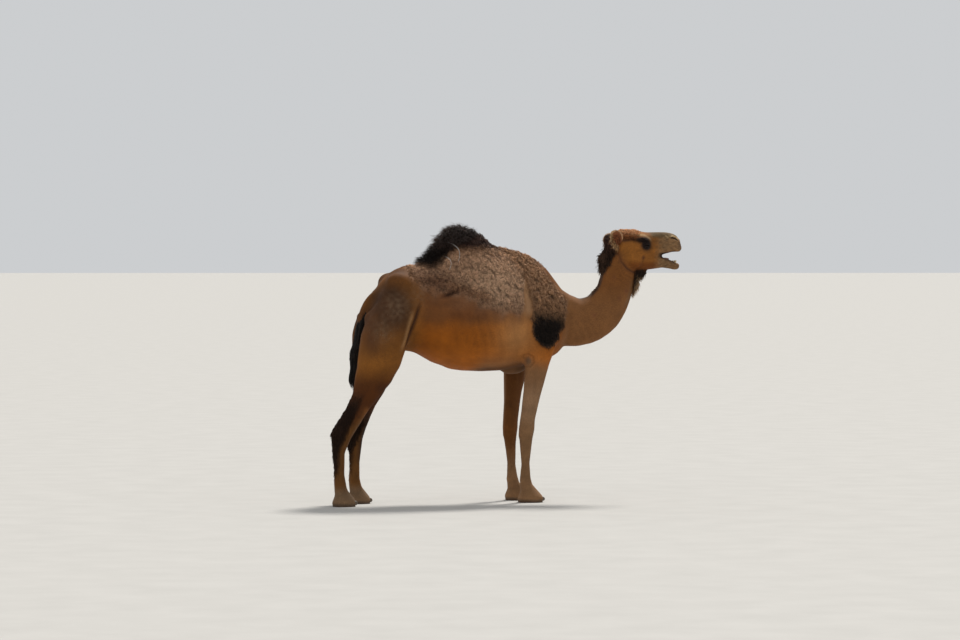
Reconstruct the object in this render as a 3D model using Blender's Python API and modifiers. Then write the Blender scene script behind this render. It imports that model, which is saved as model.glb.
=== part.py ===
"""A standing dromedary camel, life size: one flesh form, parted by thin cuts into pieces a person would name.

Frame: +X towards the nose, +Y towards the camel's own left side, +Z up, all in metres.
The soles stand on Z = 0, and the origin lies under the middle of the whole animal.
Every outline is a loft through a few stations. The lofts are fused, smoothed and thinned, then cut apart.
"""

from math import cos, radians, sin, tau

import bmesh
import bpy
from mathutils import Matrix, Vector

# ---------------------------------------------------------------- driving dimensions
CUT = 0.0003  # the width of a parting cut, and of every gap between touching pieces
GAP_MARGIN = 1.5  # cuts of gap round a piece let into another, as its flat faces bring it closer
RING_POINTS = 28  # points around each lofted section
STEPS = 3  # sections made between two stations

BODY_VOXEL = 0.014
HEAD_VOXEL = 0.0055
FOOT_VOXEL = 0.0070
TEETH_VOXEL = 0.0022
BODY_TRIANGLES = 2150
HEAD_TRIANGLES = 1150
FOOT_TRIANGLES = 120
TEETH_TRIANGLES = 140

SOLE_TRIM = 0.010  # each foot is made this much too deep, then cut flat

# ---------------------------------------------------------------- stations
# Trunk, from buttocks to breast: x, top, bottom, half width, height of the widest place,
# and the fullness of the upper and lower half (2 is an ellipse, less is more pointed).
TRUNK = (
    (-1.055, 1.410, 1.170, 0.060, 1.290, 2.0, 2.0),
    (-1.010, 1.490, 1.060, 0.118, 1.300, 1.9, 2.0),
    (-0.960, 1.560, 1.010, 0.160, 1.320, 1.7, 2.0),
    (-0.890, 1.635, 1.040, 0.196, 1.360, 1.7, 2.0),
    (-0.795, 1.685, 1.080, 0.218, 1.380, 1.7, 2.0),
    (-0.675, 1.700, 1.060, 0.236, 1.340, 1.7, 2.2),
    (-0.540, 1.715, 0.990, 0.268, 1.290, 1.8, 2.3),
    (-0.360, 1.745, 0.940, 0.292, 1.260, 1.8, 2.3),
    (-0.160, 1.785, 0.930, 0.286, 1.250, 1.8, 2.3),
    (0.020, 1.800, 0.942, 0.256, 1.260, 1.7, 2.1),
    (0.160, 1.768, 0.965, 0.220, 1.280, 1.7, 2.0),
    (0.280, 1.690, 1.000, 0.186, 1.290, 1.7, 2.0),
    (0.375, 1.575, 1.050, 0.152, 1.300, 1.8, 2.0),
    (0.435, 1.495, 1.110, 0.105, 1.300, 2.0, 2.0),
)
# Hump, out to the tips of its crest of hair: x, top, bottom, half width, height of the widest place,
# fullness.
HUMP = (
    (-0.685, 1.715, 1.600, 0.060, 1.640, 1.9, 2.0),
    (-0.600, 1.792, 1.560, 0.110, 1.620, 1.5, 2.0),
    (-0.520, 1.918, 1.540, 0.150, 1.610, 1.4, 2.0),
    (-0.450, 1.985, 1.540, 0.178, 1.610, 1.4, 2.0),
    (-0.370, 2.004, 1.540, 0.192, 1.610, 1.4, 2.0),
    (-0.290, 1.988, 1.540, 0.196, 1.610, 1.4, 2.0),
    (-0.205, 1.932, 1.550, 0.190, 1.610, 1.4, 2.0),
    (-0.130, 1.852, 1.560, 0.170, 1.610, 1.5, 2.0),
    (-0.040, 1.822, 1.580, 0.130, 1.620, 1.6, 2.0),
    (0.060, 1.802, 1.620, 0.080, 1.660, 1.8, 2.0),
)
# Neck, from inside the chest to inside the skull: x and z of the middle, half depth, half width.
NECK = (
    (0.29, 1.330, 0.235, 0.150),
    (0.44, 1.295, 0.192, 0.114),
    (0.55, 1.280, 0.176, 0.098),
    (0.66, 1.305, 0.166, 0.088),
    (0.74, 1.360, 0.158, 0.083),
    (0.795, 1.440, 0.150, 0.080),
    (0.835, 1.540, 0.142, 0.078),
    (0.86, 1.645, 0.138, 0.077),
    (0.885, 1.745, 0.130, 0.077),
    (0.93, 1.815, 0.098, 0.074),
)
# Skull and upper jaw: x, top, bottom, half width, height of the widest place, upper and lower fullness.
SKULL = (
    (0.755, 1.892, 1.800, 0.036, 1.850, 2.0, 2.0),
    (0.795, 1.928, 1.740, 0.064, 1.840, 2.0, 2.2),
    (0.850, 1.939, 1.705, 0.078, 1.835, 2.0, 2.4),
    (0.910, 1.943, 1.690, 0.083, 1.830, 2.0, 2.5),
    (0.970, 1.938, 1.685, 0.087, 1.830, 2.1, 2.5),
    (1.030, 1.933, 1.690, 0.088, 1.835, 2.2, 2.5),
    (1.085, 1.929, 1.710, 0.076, 1.835, 2.3, 2.4),
    (1.135, 1.930, 1.738, 0.062, 1.830, 2.4, 2.3),
    (1.185, 1.930, 1.758, 0.056, 1.832, 2.4, 2.3),
    (1.235, 1.930, 1.773, 0.056, 1.838, 2.4, 2.3),
    (1.280, 1.922, 1.783, 0.057, 1.838, 2.3, 2.3),
    (1.312, 1.904, 1.785, 0.052, 1.832, 2.3, 2.3),
    (1.335, 1.874, 1.786, 0.041, 1.822, 2.2, 2.2),
    (1.350, 1.838, 1.792, 0.024, 1.812, 2.0, 2.0),
)
# Lower jaw, in the same columns.
JAW = (
    (0.860, 1.815, 1.735, 0.052, 1.780, 2.2, 2.2),
    (0.900, 1.805, 1.682, 0.066, 1.755, 2.3, 2.0),
    (0.960, 1.795, 1.648, 0.072, 1.740, 2.3, 1.9),
    (1.025, 1.782, 1.646, 0.069, 1.730, 2.3, 1.8),
    (1.095, 1.770, 1.655, 0.058, 1.715, 2.3, 1.8),
    (1.150, 1.765, 1.662, 0.048, 1.714, 2.3, 1.9),
    (1.200, 1.756, 1.669, 0.042, 1.712, 2.3, 2.0),
    (1.250, 1.736, 1.665, 0.039, 1.702, 2.3, 2.1),
    (1.290, 1.717, 1.660, 0.037, 1.690, 2.3, 2.1),
    (1.322, 1.708, 1.661, 0.030, 1.685, 2.1, 2.0),
    (1.338, 1.700, 1.668, 0.016, 1.684, 2.0, 2.0),
)
# Limbs, down from inside the body: height, reach before the limb's line, reach behind it, half width.
FORE_LIMB = (
    (1.330, 0.075, 0.080, 0.040),
    (1.230, 0.095, 0.110, 0.060),
    (1.130, 0.108, 0.116, 0.070),
    (1.050, 0.104, 0.108, 0.070),
    (0.970, 0.092, 0.090, 0.062),
    (0.870, 0.078, 0.078, 0.054),
    (0.770, 0.068, 0.069, 0.049),
    (0.660, 0.062, 0.062, 0.046),
    (0.570, 0.058, 0.057, 0.051),
    (0.510, 0.060, 0.054, 0.053),
    (0.450, 0.051, 0.050, 0.045),
    (0.370, 0.041, 0.043, 0.036),
    (0.270, 0.033, 0.037, 0.032),
    (0.190, 0.038, 0.042, 0.040),
    (0.140, 0.046, 0.046, 0.046),
    (0.080, 0.054, 0.046, 0.054),
)
HIND_LIMB = (
    (1.520, 0.120, 0.055, 0.050),
    (1.440, 0.165, 0.088, 0.078),
    (1.340, 0.187, 0.142, 0.096),
    (1.210, 0.183, 0.176, 0.102),
    (1.100, 0.171, 0.169, 0.098),
    (0.985, 0.162, 0.162, 0.088),
    (0.880, 0.144, 0.136, 0.073),
    (0.790, 0.118, 0.110, 0.060),
    (0.720, 0.097, 0.093, 0.051),
    (0.640, 0.090, 0.091, 0.046),
    (0.570, 0.089, 0.092, 0.046),
    (0.515, 0.086, 0.091, 0.050),
    (0.455, 0.067, 0.069, 0.045),
    (0.370, 0.047, 0.047, 0.037),
    (0.265, 0.040, 0.040, 0.033),
    (0.185, 0.043, 0.045, 0.040),
    (0.140, 0.047, 0.047, 0.045),
    (0.080, 0.052, 0.046, 0.050),
)
# Each limb's line through its joints: height, x, distance from the middle plane.
FORE_LINES = {
    "right": ((1.34, 0.260, 0.110), (1.23, 0.250, 0.135), (1.00, 0.175, 0.160), (0.52, 0.095, 0.138),
              (0.18, 0.095, 0.134), (0.08, 0.105, 0.138)),
    "left": ((1.34, 0.245, 0.110), (1.23, 0.230, 0.135), (1.00, 0.130, 0.160), (0.52, 0.075, 0.140),
             (0.18, 0.095, 0.136), (0.08, 0.110, 0.140)),
}
HIND_LINES = {
    "right": ((1.53, -0.915, 0.090), (1.34, -0.930, 0.128), (0.98, -1.010, 0.150), (0.79, -1.095, 0.143),
              (0.51, -1.270, 0.128), (0.37, -1.300, 0.132), (0.18, -1.295, 0.138), (0.08, -1.285, 0.142)),
    "left": ((1.53, -0.920, 0.090), (1.34, -0.930, 0.128), (0.98, -0.950, 0.150), (0.79, -0.985, 0.143),
             (0.51, -1.110, 0.126), (0.37, -1.095, 0.130), (0.18, -1.100, 0.134), (0.08, -1.085, 0.138)),
}
# Feet: half length, half width, and how far the sole's middle lies ahead of the limb's line.
FORE_SOLE = (0.094, 0.084, 0.026)
HIND_SOLE = (0.086, 0.072, 0.022)
SOLE_HEIGHTS = (  # height, share of the sole's size, share of the forward offset kept
    (-SOLE_TRIM, 0.93, 1.00),
    (0.006, 0.98, 1.00),
    (0.026, 1.00, 1.00),
    (0.048, 0.93, 0.95),
    (0.072, 0.76, 0.75),
    (0.100, 0.60, 0.40),
    (0.135, 0.50, 0.10),
    (0.175, 0.46, 0.00),
)
TOE_CLEFT = (0.17, 0.20)  # depth of the notch between the toes, and its half angle in radians
NAIL = (0.024, 0.014, 0.017)  # half length, half width and half height of a toenail
NAIL_SEAT = (0.80, 0.42, 0.026)  # its place: shares of the sole's half length and half width, and its height

# Forms over bone and muscle, on both sides: centre, half sizes, turn about Y in degrees.
BODY_FORMS = {
    "hook_bone": ((-0.835, 0.106, 1.566), (0.112, 0.070, 0.076), 14),
    "pin_bone": ((-1.060, 0.088, 1.310), (0.044, 0.036, 0.056), 0),
    "shoulder_blade": ((0.165, 0.140, 1.400), (0.085, 0.062, 0.200), -20),
    "shoulder_point": ((0.305, 0.115, 1.200), (0.085, 0.055, 0.095), 0),
    "triceps": ((0.120, 0.165, 1.180), (0.105, 0.058, 0.110), 25),
    "thigh_front": ((-0.850, 0.160, 1.250), (0.085, 0.055, 0.220), 8),
}
ELBOW_PAD = ((0.022, 0.012, 0.030), (0.070, 0.160, 1.020))
CHEST_PAD = ((0.100, 0.062, 0.044), (0.050, 0.000, 0.952))
CHEST_PAD_TURN = -4
HAIR_FORMS = {  # the mane on the nape and the beard along the throat, on the middle plane
    "mane": ((0.755, 0.000, 1.730), (0.056, 0.046, 0.105), 14),
    "poll": ((0.795, 0.000, 1.862), (0.040, 0.050, 0.062), 25),
    "beard": ((1.015, 0.000, 1.636), (0.076, 0.036, 0.032), 0),
    "throat": ((0.980, 0.000, 1.560), (0.042, 0.040, 0.080), 14),
}
HEAD_FORMS = {
    "brow": ((1.030, 0.062, 1.874), (0.048, 0.026, 0.024), 8),
    "cheekbone": ((1.080, 0.064, 1.795), (0.060, 0.016, 0.018), 5),
    "cheek": ((0.960, 0.056, 1.750), (0.080, 0.028, 0.085), 0),
    "nose_wing": ((1.285, 0.034, 1.866), (0.036, 0.018, 0.022), 30),
    "upper_lip": ((1.300, 0.030, 1.812), (0.046, 0.026, 0.027), 0),
}
EYE_RADIUS = 0.0215
EYE_CENTRE = (1.050, 0.0695, 1.823)
EAR_ROOT = Vector((0.832, 0.066, 1.846))
EAR_TIPS = {  # the left one droops
    "right": Vector((0.768, 0.118, 1.932)),
    "left": Vector((0.834, 0.136, 1.918)),
}
EAR_FACING = {  # the way the ear's hollow looks
    "right": Vector((-0.05, 1.0, 0.0)),
    "left": Vector((0.35, 0.94, 0.0)),
}
EAR_WIDTH, EAR_THICKNESS, EAR_CUP = 0.106, 0.009, 0.026
EAR_STRIPS = 3  # strips on each side of the ear's middle line
EAR_STATIONS = (  # share of the length, share of the full width, how strongly the edges roll
    (0.00, 0.46, 0.60),
    (0.16, 0.72, 0.95),
    (0.36, 0.94, 1.10),
    (0.56, 1.00, 0.95),
    (0.76, 0.92, 0.75),
    (0.92, 0.66, 0.45),
    (1.00, 0.30, 0.15),
)
TONGUE = ((0.050, 0.023, 0.011), (1.215, 0.000, 1.742))
TONGUE_TURN = 14
TOOTH = (0.0058, 0.0050, 0.0150)  # half thickness, half width, half height
TOOTH_TURN = 22  # how far the teeth lean forward, in degrees
TEETH_ARC = (1.283, 0.029, 1.711)  # the arc's middle, its radius and the height of the teeth's middle
TEETH_SPACING = 25  # degrees along the arc
TEETH_PER_SIDE = 3
GUM_GAP = 0.0012

# Tail: x and z down its middle, half depth and half width. The brush is the long hair around its lower half.
DOCK = (
    (-0.980, 1.480, 0.038, 0.038),
    (-1.030, 1.430, 0.037, 0.036),
    (-1.070, 1.365, 0.032, 0.034),
    (-1.095, 1.290, 0.027, 0.033),
    (-1.105, 1.205, 0.024, 0.033),
    (-1.120, 1.120, 0.022, 0.033),
)
BRUSH = (
    (-1.120, 1.120, 0.022, 0.033),
    (-1.130, 1.060, 0.026, 0.040),
    (-1.140, 0.990, 0.029, 0.044),
    (-1.150, 0.920, 0.027, 0.040),
    (-1.160, 0.850, 0.020, 0.030),
    (-1.165, 0.795, 0.007, 0.010),
)

# ---------------------------------------------------------------- partings
# Planes: a point on the cut, and the direction of the piece that comes off. Outlines are in X and Z.
HEAD_CUT = (Vector((0.840, 0, 1.760)), Vector((0.83, 0, 0.56)))
FETLOCK_CUT = 0.120  # height where each foot is parted from its cannon
GASKIN_CUT = (Vector((-1.030, 0, 0.880)), Vector((-0.30, 0, -0.95)))
HIND_CANNON_CUT = (Vector((-1.200, 0, 0.440)), Vector((0, 0, -1)))
FOREARM_CUT = (Vector((0.170, 0, 0.930)), Vector((0, 0, -1)))
FORE_CANNON_CUT = (Vector((0.100, 0, 0.455)), Vector((0, 0, -1)))
NECK_LOWER_CUT = (Vector((0.435, 0, 1.290)), Vector((0.97, 0, -0.10)))
NECK_UPPER_CUT = (Vector((0.800, 0, 1.460)), Vector((0.28, 0, 0.96)))
THIGH_OUTLINE = ((-0.700, 0.60), (-0.735, 1.10), (-0.815, 1.43), (-1.000, 1.44),
                 (-1.350, 1.22), (-1.500, 0.05), (-0.700, 0.05))
THIGH_DEPTH = (0.030, 0.45)  # from and to this distance from the middle plane
ARM_OUTLINE = ((0.480, 0.050), (0.480, 1.080), (0.300, 1.165), (0.110, 1.150), (0.040, 1.100),
               (0.030, 0.980), (-0.060, 0.900), (-0.060, 0.050))
ARM_DEPTH = (0.066, 0.45)
HUMP_OUTLINE = ((-0.720, 1.700), (-0.500, 1.712), (-0.200, 1.762), (0.010, 1.812), (0.010, 2.200),
                (-0.720, 2.200))
HUMP_DEPTH = (-0.5, 0.5)
JAW_OUTLINE = ((0.920, 1.500), (0.960, 1.690), (1.080, 1.748), (1.200, 1.762), (1.420, 1.766),
               (1.420, 1.500))
JAW_DEPTH = (-0.2, 0.2)

# ---------------------------------------------------------------- materials
FINISHES = {  # colour, roughness
    "short_coat": ((0.195, 0.089, 0.033), 0.85),
    "wool": ((0.205, 0.119, 0.068), 0.92),
    "dark_hair": ((0.018, 0.014, 0.012), 0.80),
    "eye": ((0.020, 0.012, 0.008), 0.10),
    "callus": ((0.075, 0.055, 0.045), 0.70),
    "nail": ((0.10, 0.075, 0.055), 0.55),
    "tongue": ((0.42, 0.20, 0.18), 0.50),
    "tooth": ((0.66, 0.58, 0.40), 0.40),
}


def finish(name):
    """The material of that name, made once."""
    material = bpy.data.materials.get(name)
    if material is None:
        colour, roughness = FINISHES[name]
        material = bpy.data.materials.new(name)
        material.use_nodes = True
        shader = material.node_tree.nodes["Principled BSDF"]
        shader.inputs["Base Color"].default_value = (*colour, 1)
        shader.inputs["Roughness"].default_value = roughness
        shader.inputs["Metallic"].default_value = 0
    return material


# ---------------------------------------------------------------- shape helpers
def eased(stations, steps=STEPS):
    """The stations with smooth in-between ones, on a Catmull-Rom curve through every column."""
    rows = []
    for i in range(len(stations) - 1):
        before = stations[max(i - 1, 0)]
        here, after = stations[i], stations[i + 1]
        beyond = stations[min(i + 2, len(stations) - 1)]
        for k in range(steps):
            t = k / steps
            rows.append(tuple(
                b + 0.5 * t * (c - a + t * (2 * a - 5 * b + 4 * c - d + t * (3 * (b - c) + d - a)))
                for a, b, c, d in zip(before, here, after, beyond)
            ))
    rows.append(tuple(stations[-1]))
    return rows


def along(line, height):
    """x and distance from the middle plane of a limb's line at this height."""
    for (high, x1, y1), (low, x2, y2) in zip(line, line[1:]):
        if height >= low or (low, x2, y2) == line[-1]:
            t = (high - height) / (high - low)
            t = min(max(t, 0), 1)
            return x1 + (x2 - x1) * t, y1 + (y2 - y1) * t
    return line[-1][1:]


def superellipse(angle, fullness):
    """A point of the unit superellipse: 2 gives a circle, more is boxier, less is more pointed."""
    c, s = cos(angle), sin(angle)
    power = 2 / fullness
    return abs(c) ** power * (1 if c > 0 else -1), abs(s) ** power * (1 if s > 0 else -1)


def upright_ring(row):
    """A section across X: x, top, bottom, half width, widest height, upper fullness, lower fullness."""
    x, top, bottom, half_width, widest, upper, lower = row
    points = []
    for k in range(RING_POINTS):
        angle = tau * k / RING_POINTS
        across, up = superellipse(angle, upper if sin(angle) > 0 else lower)
        reach = top - widest if up > 0 else widest - bottom
        points.append(Vector((x, half_width * across, widest + reach * up)))
    return points


def level_ring(x, y, z, front, back, half_width, fullness=2.1):
    """A flat section of a limb, with its own reach to the front and to the back."""
    points = []
    for k in range(RING_POINTS):
        ahead, across = superellipse(tau * k / RING_POINTS, fullness)
        points.append(Vector((x + (front if ahead > 0 else back) * ahead, y + half_width * across, z)))
    return points


def path_rings(stations, steps=STEPS, points=RING_POINTS):
    """Sections square to a path in the middle plane, from rows of x, z, half depth, half width."""
    rows = eased(stations, steps)
    rings = []
    for i, (x, z, half_depth, half_width) in enumerate(rows):
        ahead, behind = rows[min(i + 1, len(rows) - 1)], rows[max(i - 1, 0)]
        tangent = Vector((ahead[0] - behind[0], 0, ahead[1] - behind[1])).normalized()
        normal = Vector((-tangent.z, 0, tangent.x))
        ring = []
        for k in range(points):
            out, across = superellipse(tau * k / points, 2.1)
            ring.append(Vector((x, 0, z)) + normal * half_depth * out + Vector((0, half_width * across, 0)))
        rings.append(ring)
    return rings


def loft(rings):
    """A bmesh skinned over rings of equal count, with both ends closed."""
    bm = bmesh.new()
    loops = [[bm.verts.new(p) for p in ring] for ring in rings]
    for first, second in zip(loops, loops[1:]):
        for k in range(len(first)):
            j = (k + 1) % len(first)
            bm.faces.new((first[k], first[j], second[j], second[k]))
    bm.faces.new(loops[0])
    bm.faces.new(loops[-1])
    bmesh.ops.recalc_face_normals(bm, faces=bm.faces)
    return bm


def ellipsoid(centre, half_sizes, turn=0.0, segments=20):
    """A stretched ball, turned about Y by some degrees."""
    bm = bmesh.new()
    bmesh.ops.create_uvsphere(bm, u_segments=segments, v_segments=segments // 2 + 2, radius=1)
    turned = Matrix.Rotation(radians(turn), 4, "Y")
    place = Matrix.Translation(centre) @ turned @ Matrix.Diagonal((*half_sizes, 1))
    bmesh.ops.transform(bm, matrix=place, verts=bm.verts)
    return bm


def on_side(point, side):
    """The same point on the right (-1) or left (+1) side."""
    return Vector((point[0], point[1] * side, point[2]))


def gathered(pieces):
    """One bmesh that holds all of these, which are freed."""
    whole = bmesh.new()
    for bm in pieces:
        mesh = bpy.data.meshes.new("piece")
        bm.to_mesh(mesh)
        bm.free()
        whole.from_mesh(mesh)
        bpy.data.meshes.remove(mesh)
    return whole


def add_object(name, bm, material=None):
    """A new object in the camel's collection, with its bmesh freed."""
    mesh = bpy.data.meshes.new(name)
    bm.to_mesh(mesh)
    bm.free()
    obj = bpy.data.objects.new(name, mesh)
    camel.objects.link(obj)
    if material:
        mesh.materials.append(finish(material))
    return obj


def bake_modifiers(obj):
    """Makes the object's evaluated mesh its own, and clears its modifiers."""
    bpy.context.view_layer.update()
    graph = bpy.context.evaluated_depsgraph_get()
    mesh = bpy.data.meshes.new_from_object(obj.evaluated_get(graph))
    obj.modifiers.clear()
    old, obj.data = obj.data, mesh
    bpy.data.meshes.remove(old)
    obj.data.name = obj.name
    return obj


def fused(name, pieces, voxel, smoothing, triangles):
    """One closed, smoothed and thinned object from overlapping pieces."""
    obj = add_object(name, gathered(pieces))
    remesh = obj.modifiers.new("fuse", "REMESH")
    remesh.mode = "VOXEL"
    remesh.voxel_size = voxel
    smooth = obj.modifiers.new("smooth", "SMOOTH")
    smooth.factor = 0.5
    smooth.iterations = smoothing
    bake_modifiers(obj)
    obj.data.calc_loop_triangles()
    thin = obj.modifiers.new("thin", "DECIMATE")
    thin.ratio = triangles / len(obj.data.loop_triangles)
    thin.use_symmetry = False
    return bake_modifiers(obj)


def boolean(obj, cutter, operation):
    """Applies an exact Boolean with a cutter that is kept."""
    modifier = obj.modifiers.new("cut", "BOOLEAN")
    modifier.operation = operation
    modifier.object = cutter
    modifier.solver = "EXACT"
    return bake_modifiers(obj)


def copy_of(obj, name):
    twin = obj.copy()
    twin.data = obj.data.copy()
    twin.name = name
    camel.objects.link(twin)
    return twin


def drop(obj):
    bpy.data.objects.remove(obj)


def keep_side(obj, point, normal, gap=0.0):
    """Keeps what lies on the normal's side of a plane, set back by a gap, and closes the cut."""
    normal = normal.normalized()
    bm = bmesh.new()
    bm.from_mesh(obj.data)
    everything = [*bm.verts, *bm.edges, *bm.faces]
    bmesh.ops.bisect_plane(bm, geom=everything, plane_co=point + normal * gap, plane_no=normal,
                           clear_inner=True, dist=1e-6)
    rim = [e for e in bm.edges if e.is_boundary]
    bmesh.ops.edgeloop_fill(bm, edges=rim)
    bmesh.ops.recalc_face_normals(bm, faces=bm.faces)
    bm.to_mesh(obj.data)
    bm.free()
    return obj


def part_by_plane(obj, name, point, normal):
    """Splits off what lies on the normal's side as a new object; obj keeps the rest."""
    taken = keep_side(copy_of(obj, name), point, normal, CUT / 2)
    keep_side(obj, point, -normal, CUT / 2)
    return taken


def block(corners, depth, grow=0.0):
    """A cutter: a convex outline in the XZ plane, drawn out from one y to the other, and grown all round."""
    middle = sum((Vector(c) for c in corners), Vector((0, 0))) / len(corners)
    low, high = min(depth) - grow, max(depth) + grow
    bm = bmesh.new()
    rim = [bm.verts.new((x, low, z)) for x, z in corners]
    base = bm.faces.new(rim)
    side = bmesh.ops.extrude_face_region(bm, geom=[base])["geom"]
    far_rim = [v for v in side if isinstance(v, bmesh.types.BMVert)]
    bmesh.ops.translate(bm, vec=(0, high - low, 0), verts=far_rim)
    if grow:
        for vert in bm.verts:
            outward = Vector((vert.co.x - middle.x, vert.co.z - middle.y))
            outward *= 1 + 2 * grow / outward.length
            vert.co.x, vert.co.z = middle.x + outward.x, middle.y + outward.y
    bmesh.ops.recalc_face_normals(bm, faces=bm.faces)
    return add_object("cutter", bm)


def part_by_block(obj, name, corners, depth):
    """Splits off what lies inside a block as a new object; obj keeps the rest, less a thin gap."""
    taken = copy_of(obj, name)
    cutter = block(corners, depth)
    boolean(taken, cutter, "INTERSECT")
    drop(cutter)
    cutter = block(corners, depth, CUT)
    boolean(obj, cutter, "DIFFERENCE")
    drop(cutter)
    return taken


def let_in(host, piece, gap=CUT * GAP_MARGIN):
    """Cuts room for a piece out of its host, a thin gap larger than the piece all round."""
    cutter = copy_of(piece, "cutter")
    bm = bmesh.new()
    bm.from_mesh(cutter.data)
    bm.normal_update()
    for vert, normal in [(v, v.normal.copy()) for v in bm.verts]:
        vert.co += normal * gap
    bm.to_mesh(cutter.data)
    bm.free()
    boolean(host, cutter, "DIFFERENCE")
    drop(cutter)


def give(obj, material):
    obj.data.materials.clear()
    obj.data.materials.append(finish(material))
    obj.data.shade_smooth()
    return obj


# ---------------------------------------------------------------- flesh forms
def limb_rings(sizes, line, side):
    rings = []
    for z, front, back, half_width in eased(sizes):
        x, y = along(line, z)
        rings.append(level_ring(x, y * side, z, front, back, half_width))
    return rings


def forms(table):
    """The mirrored pairs of ellipsoids of a table of body forms."""
    return [ellipsoid(on_side(centre, side), sizes, turn)
            for centre, sizes, turn in table.values() for side in (-1, 1)]


def neck_form():
    return loft(path_rings(NECK))


def hair_forms():
    return [ellipsoid(centre, sizes, turn) for centre, sizes, turn in HAIR_FORMS.values()]


def make_body():
    """Trunk, hump, neck and limbs as one form, still without head and feet."""
    pieces = [loft([upright_ring(row) for row in eased(TRUNK)]),
              loft([upright_ring(row) for row in eased(HUMP)]), neck_form(),
              loft([upright_ring(row) for row in eased(SKULL[:5])]), *forms(BODY_FORMS), *hair_forms()]
    for side, name in ((-1, "right"), (1, "left")):
        pieces.append(loft(limb_rings(FORE_LIMB, FORE_LINES[name], side)))
        pieces.append(loft(limb_rings(HIND_LIMB, HIND_LINES[name], side)))
        size, place = ELBOW_PAD
        pieces.append(ellipsoid(on_side(place, side), size))
    body = fused("trunk", pieces, BODY_VOXEL, 5, BODY_TRIANGLES)
    keep_side(body, HEAD_CUT[0], -HEAD_CUT[1], CUT / 2)
    return keep_side(body, Vector((0, 0, FETLOCK_CUT)), Vector((0, 0, 1)), CUT / 2)


def make_head():
    """Skull and jaws as one form, cut from the neck along the same plane as the body."""
    pieces = [loft([upright_ring(row) for row in eased(SKULL)]),
              loft([upright_ring(row) for row in eased(JAW)]), neck_form(),
              *forms(HEAD_FORMS), *hair_forms()]
    head = fused("head", pieces, HEAD_VOXEL, 3, HEAD_TRIANGLES)
    return keep_side(head, HEAD_CUT[0], HEAD_CUT[1], CUT / 2)


def make_ear(name, side):
    """A leaf of crescent sections from root to tip, rolled towards the side that its hollow looks at."""
    root, tip = on_side(EAR_ROOT, side), on_side(EAR_TIPS[name], side)
    up = (tip - root).normalized()
    facing = on_side(EAR_FACING[name], side)
    facing = (facing - up * facing.dot(up)).normalized()
    sideways = up.cross(facing)
    rings = []
    for rise, width, roll in EAR_STATIONS:
        middle = root.lerp(tip, rise)
        half = EAR_WIDTH / 2 * width
        back = [a / EAR_STRIPS for a in range(-EAR_STRIPS, EAR_STRIPS + 1)]
        ring = [middle + sideways * half * a + facing * EAR_CUP * roll * a * a for a in back]
        for a in reversed(back[1:-1]):
            thick = EAR_THICKNESS * (1 - 0.5 * a * a) * min(1, width * 2)
            ring.append(middle + sideways * half * a * 0.9 + facing * (EAR_CUP * roll * a * a + thick))
        rings.append(ring)
    return add_object(f"ear_{name}", loft(rings))


def sole_ring(x, y, z, half_length, half_width):
    """The outline of a two-toed pad: blunt, a little wider in front, with a notch between the toes."""
    depth, spread = TOE_CLEFT
    points = []
    for k in range(RING_POINTS * 2):
        angle = tau * k / (RING_POINTS * 2)
        off_front = min(angle, tau - angle)
        notch = 1 - depth * max(0, 1 - off_front / spread)
        ahead, across = superellipse(angle, 2.3)
        wider = 1 + 0.08 * ahead
        points.append(Vector((x + half_length * ahead * notch, y + half_width * across * wider, z)))
    return points


def make_foot(name, line, sole, side):
    """A broad two-toed foot with a flat sole, cut from its cannon at the fetlock height."""
    half_length, half_width, ahead = sole
    rings = []
    for z, share, kept in eased(SOLE_HEIGHTS, 2):
        x, y = along(line, max(z, line[-1][0]))
        rings.append(sole_ring(x + ahead * kept, y * side, z, half_length * share, half_width * share))
    sizes = FORE_LIMB if sole is FORE_SOLE else HIND_LIMB
    shank = [row for row in sizes if row[0] < 0.3]
    foot = fused(name, [loft(rings), loft(limb_rings(shank, line, side))], FOOT_VOXEL, 2, FOOT_TRIANGLES)
    keep_side(foot, Vector((0, 0, FETLOCK_CUT)), Vector((0, 0, -1)), CUT / 2)
    keep_side(foot, Vector((0, 0, 0)), Vector((0, 0, 1)))
    x, y = along(line, 0)
    for toe in (-1, 1):
        forward, outward, height = NAIL_SEAT
        centre = Vector((x + ahead + half_length * forward, y * side + toe * half_width * outward, height))
        place = "outer" if toe == side else "inner"
        nail = add_object(f"{name}_nail_{place}", ellipsoid(centre, NAIL, 12, 8))
        let_in(foot, nail)
        give(nail, "nail")
    give(foot, "short_coat")


# ---------------------------------------------------------------- assembly
def part_limbs(body):
    """Cuts each leg from the trunk, then into its lengths."""
    for side, name in ((-1, "right"), (1, "left")):
        hind = part_by_block(body, f"hind_{name}_thigh", THIGH_OUTLINE, [y * side for y in THIGH_DEPTH])
        gaskin = part_by_plane(hind, f"hind_{name}_gaskin", *GASKIN_CUT)
        cannon = part_by_plane(gaskin, f"hind_{name}_cannon", *HIND_CANNON_CUT)
        fore = part_by_block(body, f"fore_{name}_arm", ARM_OUTLINE, [y * side for y in ARM_DEPTH])
        forearm = part_by_plane(fore, f"fore_{name}_forearm", *FOREARM_CUT)
        shin = part_by_plane(forearm, f"fore_{name}_cannon", *FORE_CANNON_CUT)
        for obj in (hind, gaskin, cannon, fore, forearm, shin):
            give(obj, "short_coat")


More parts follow.
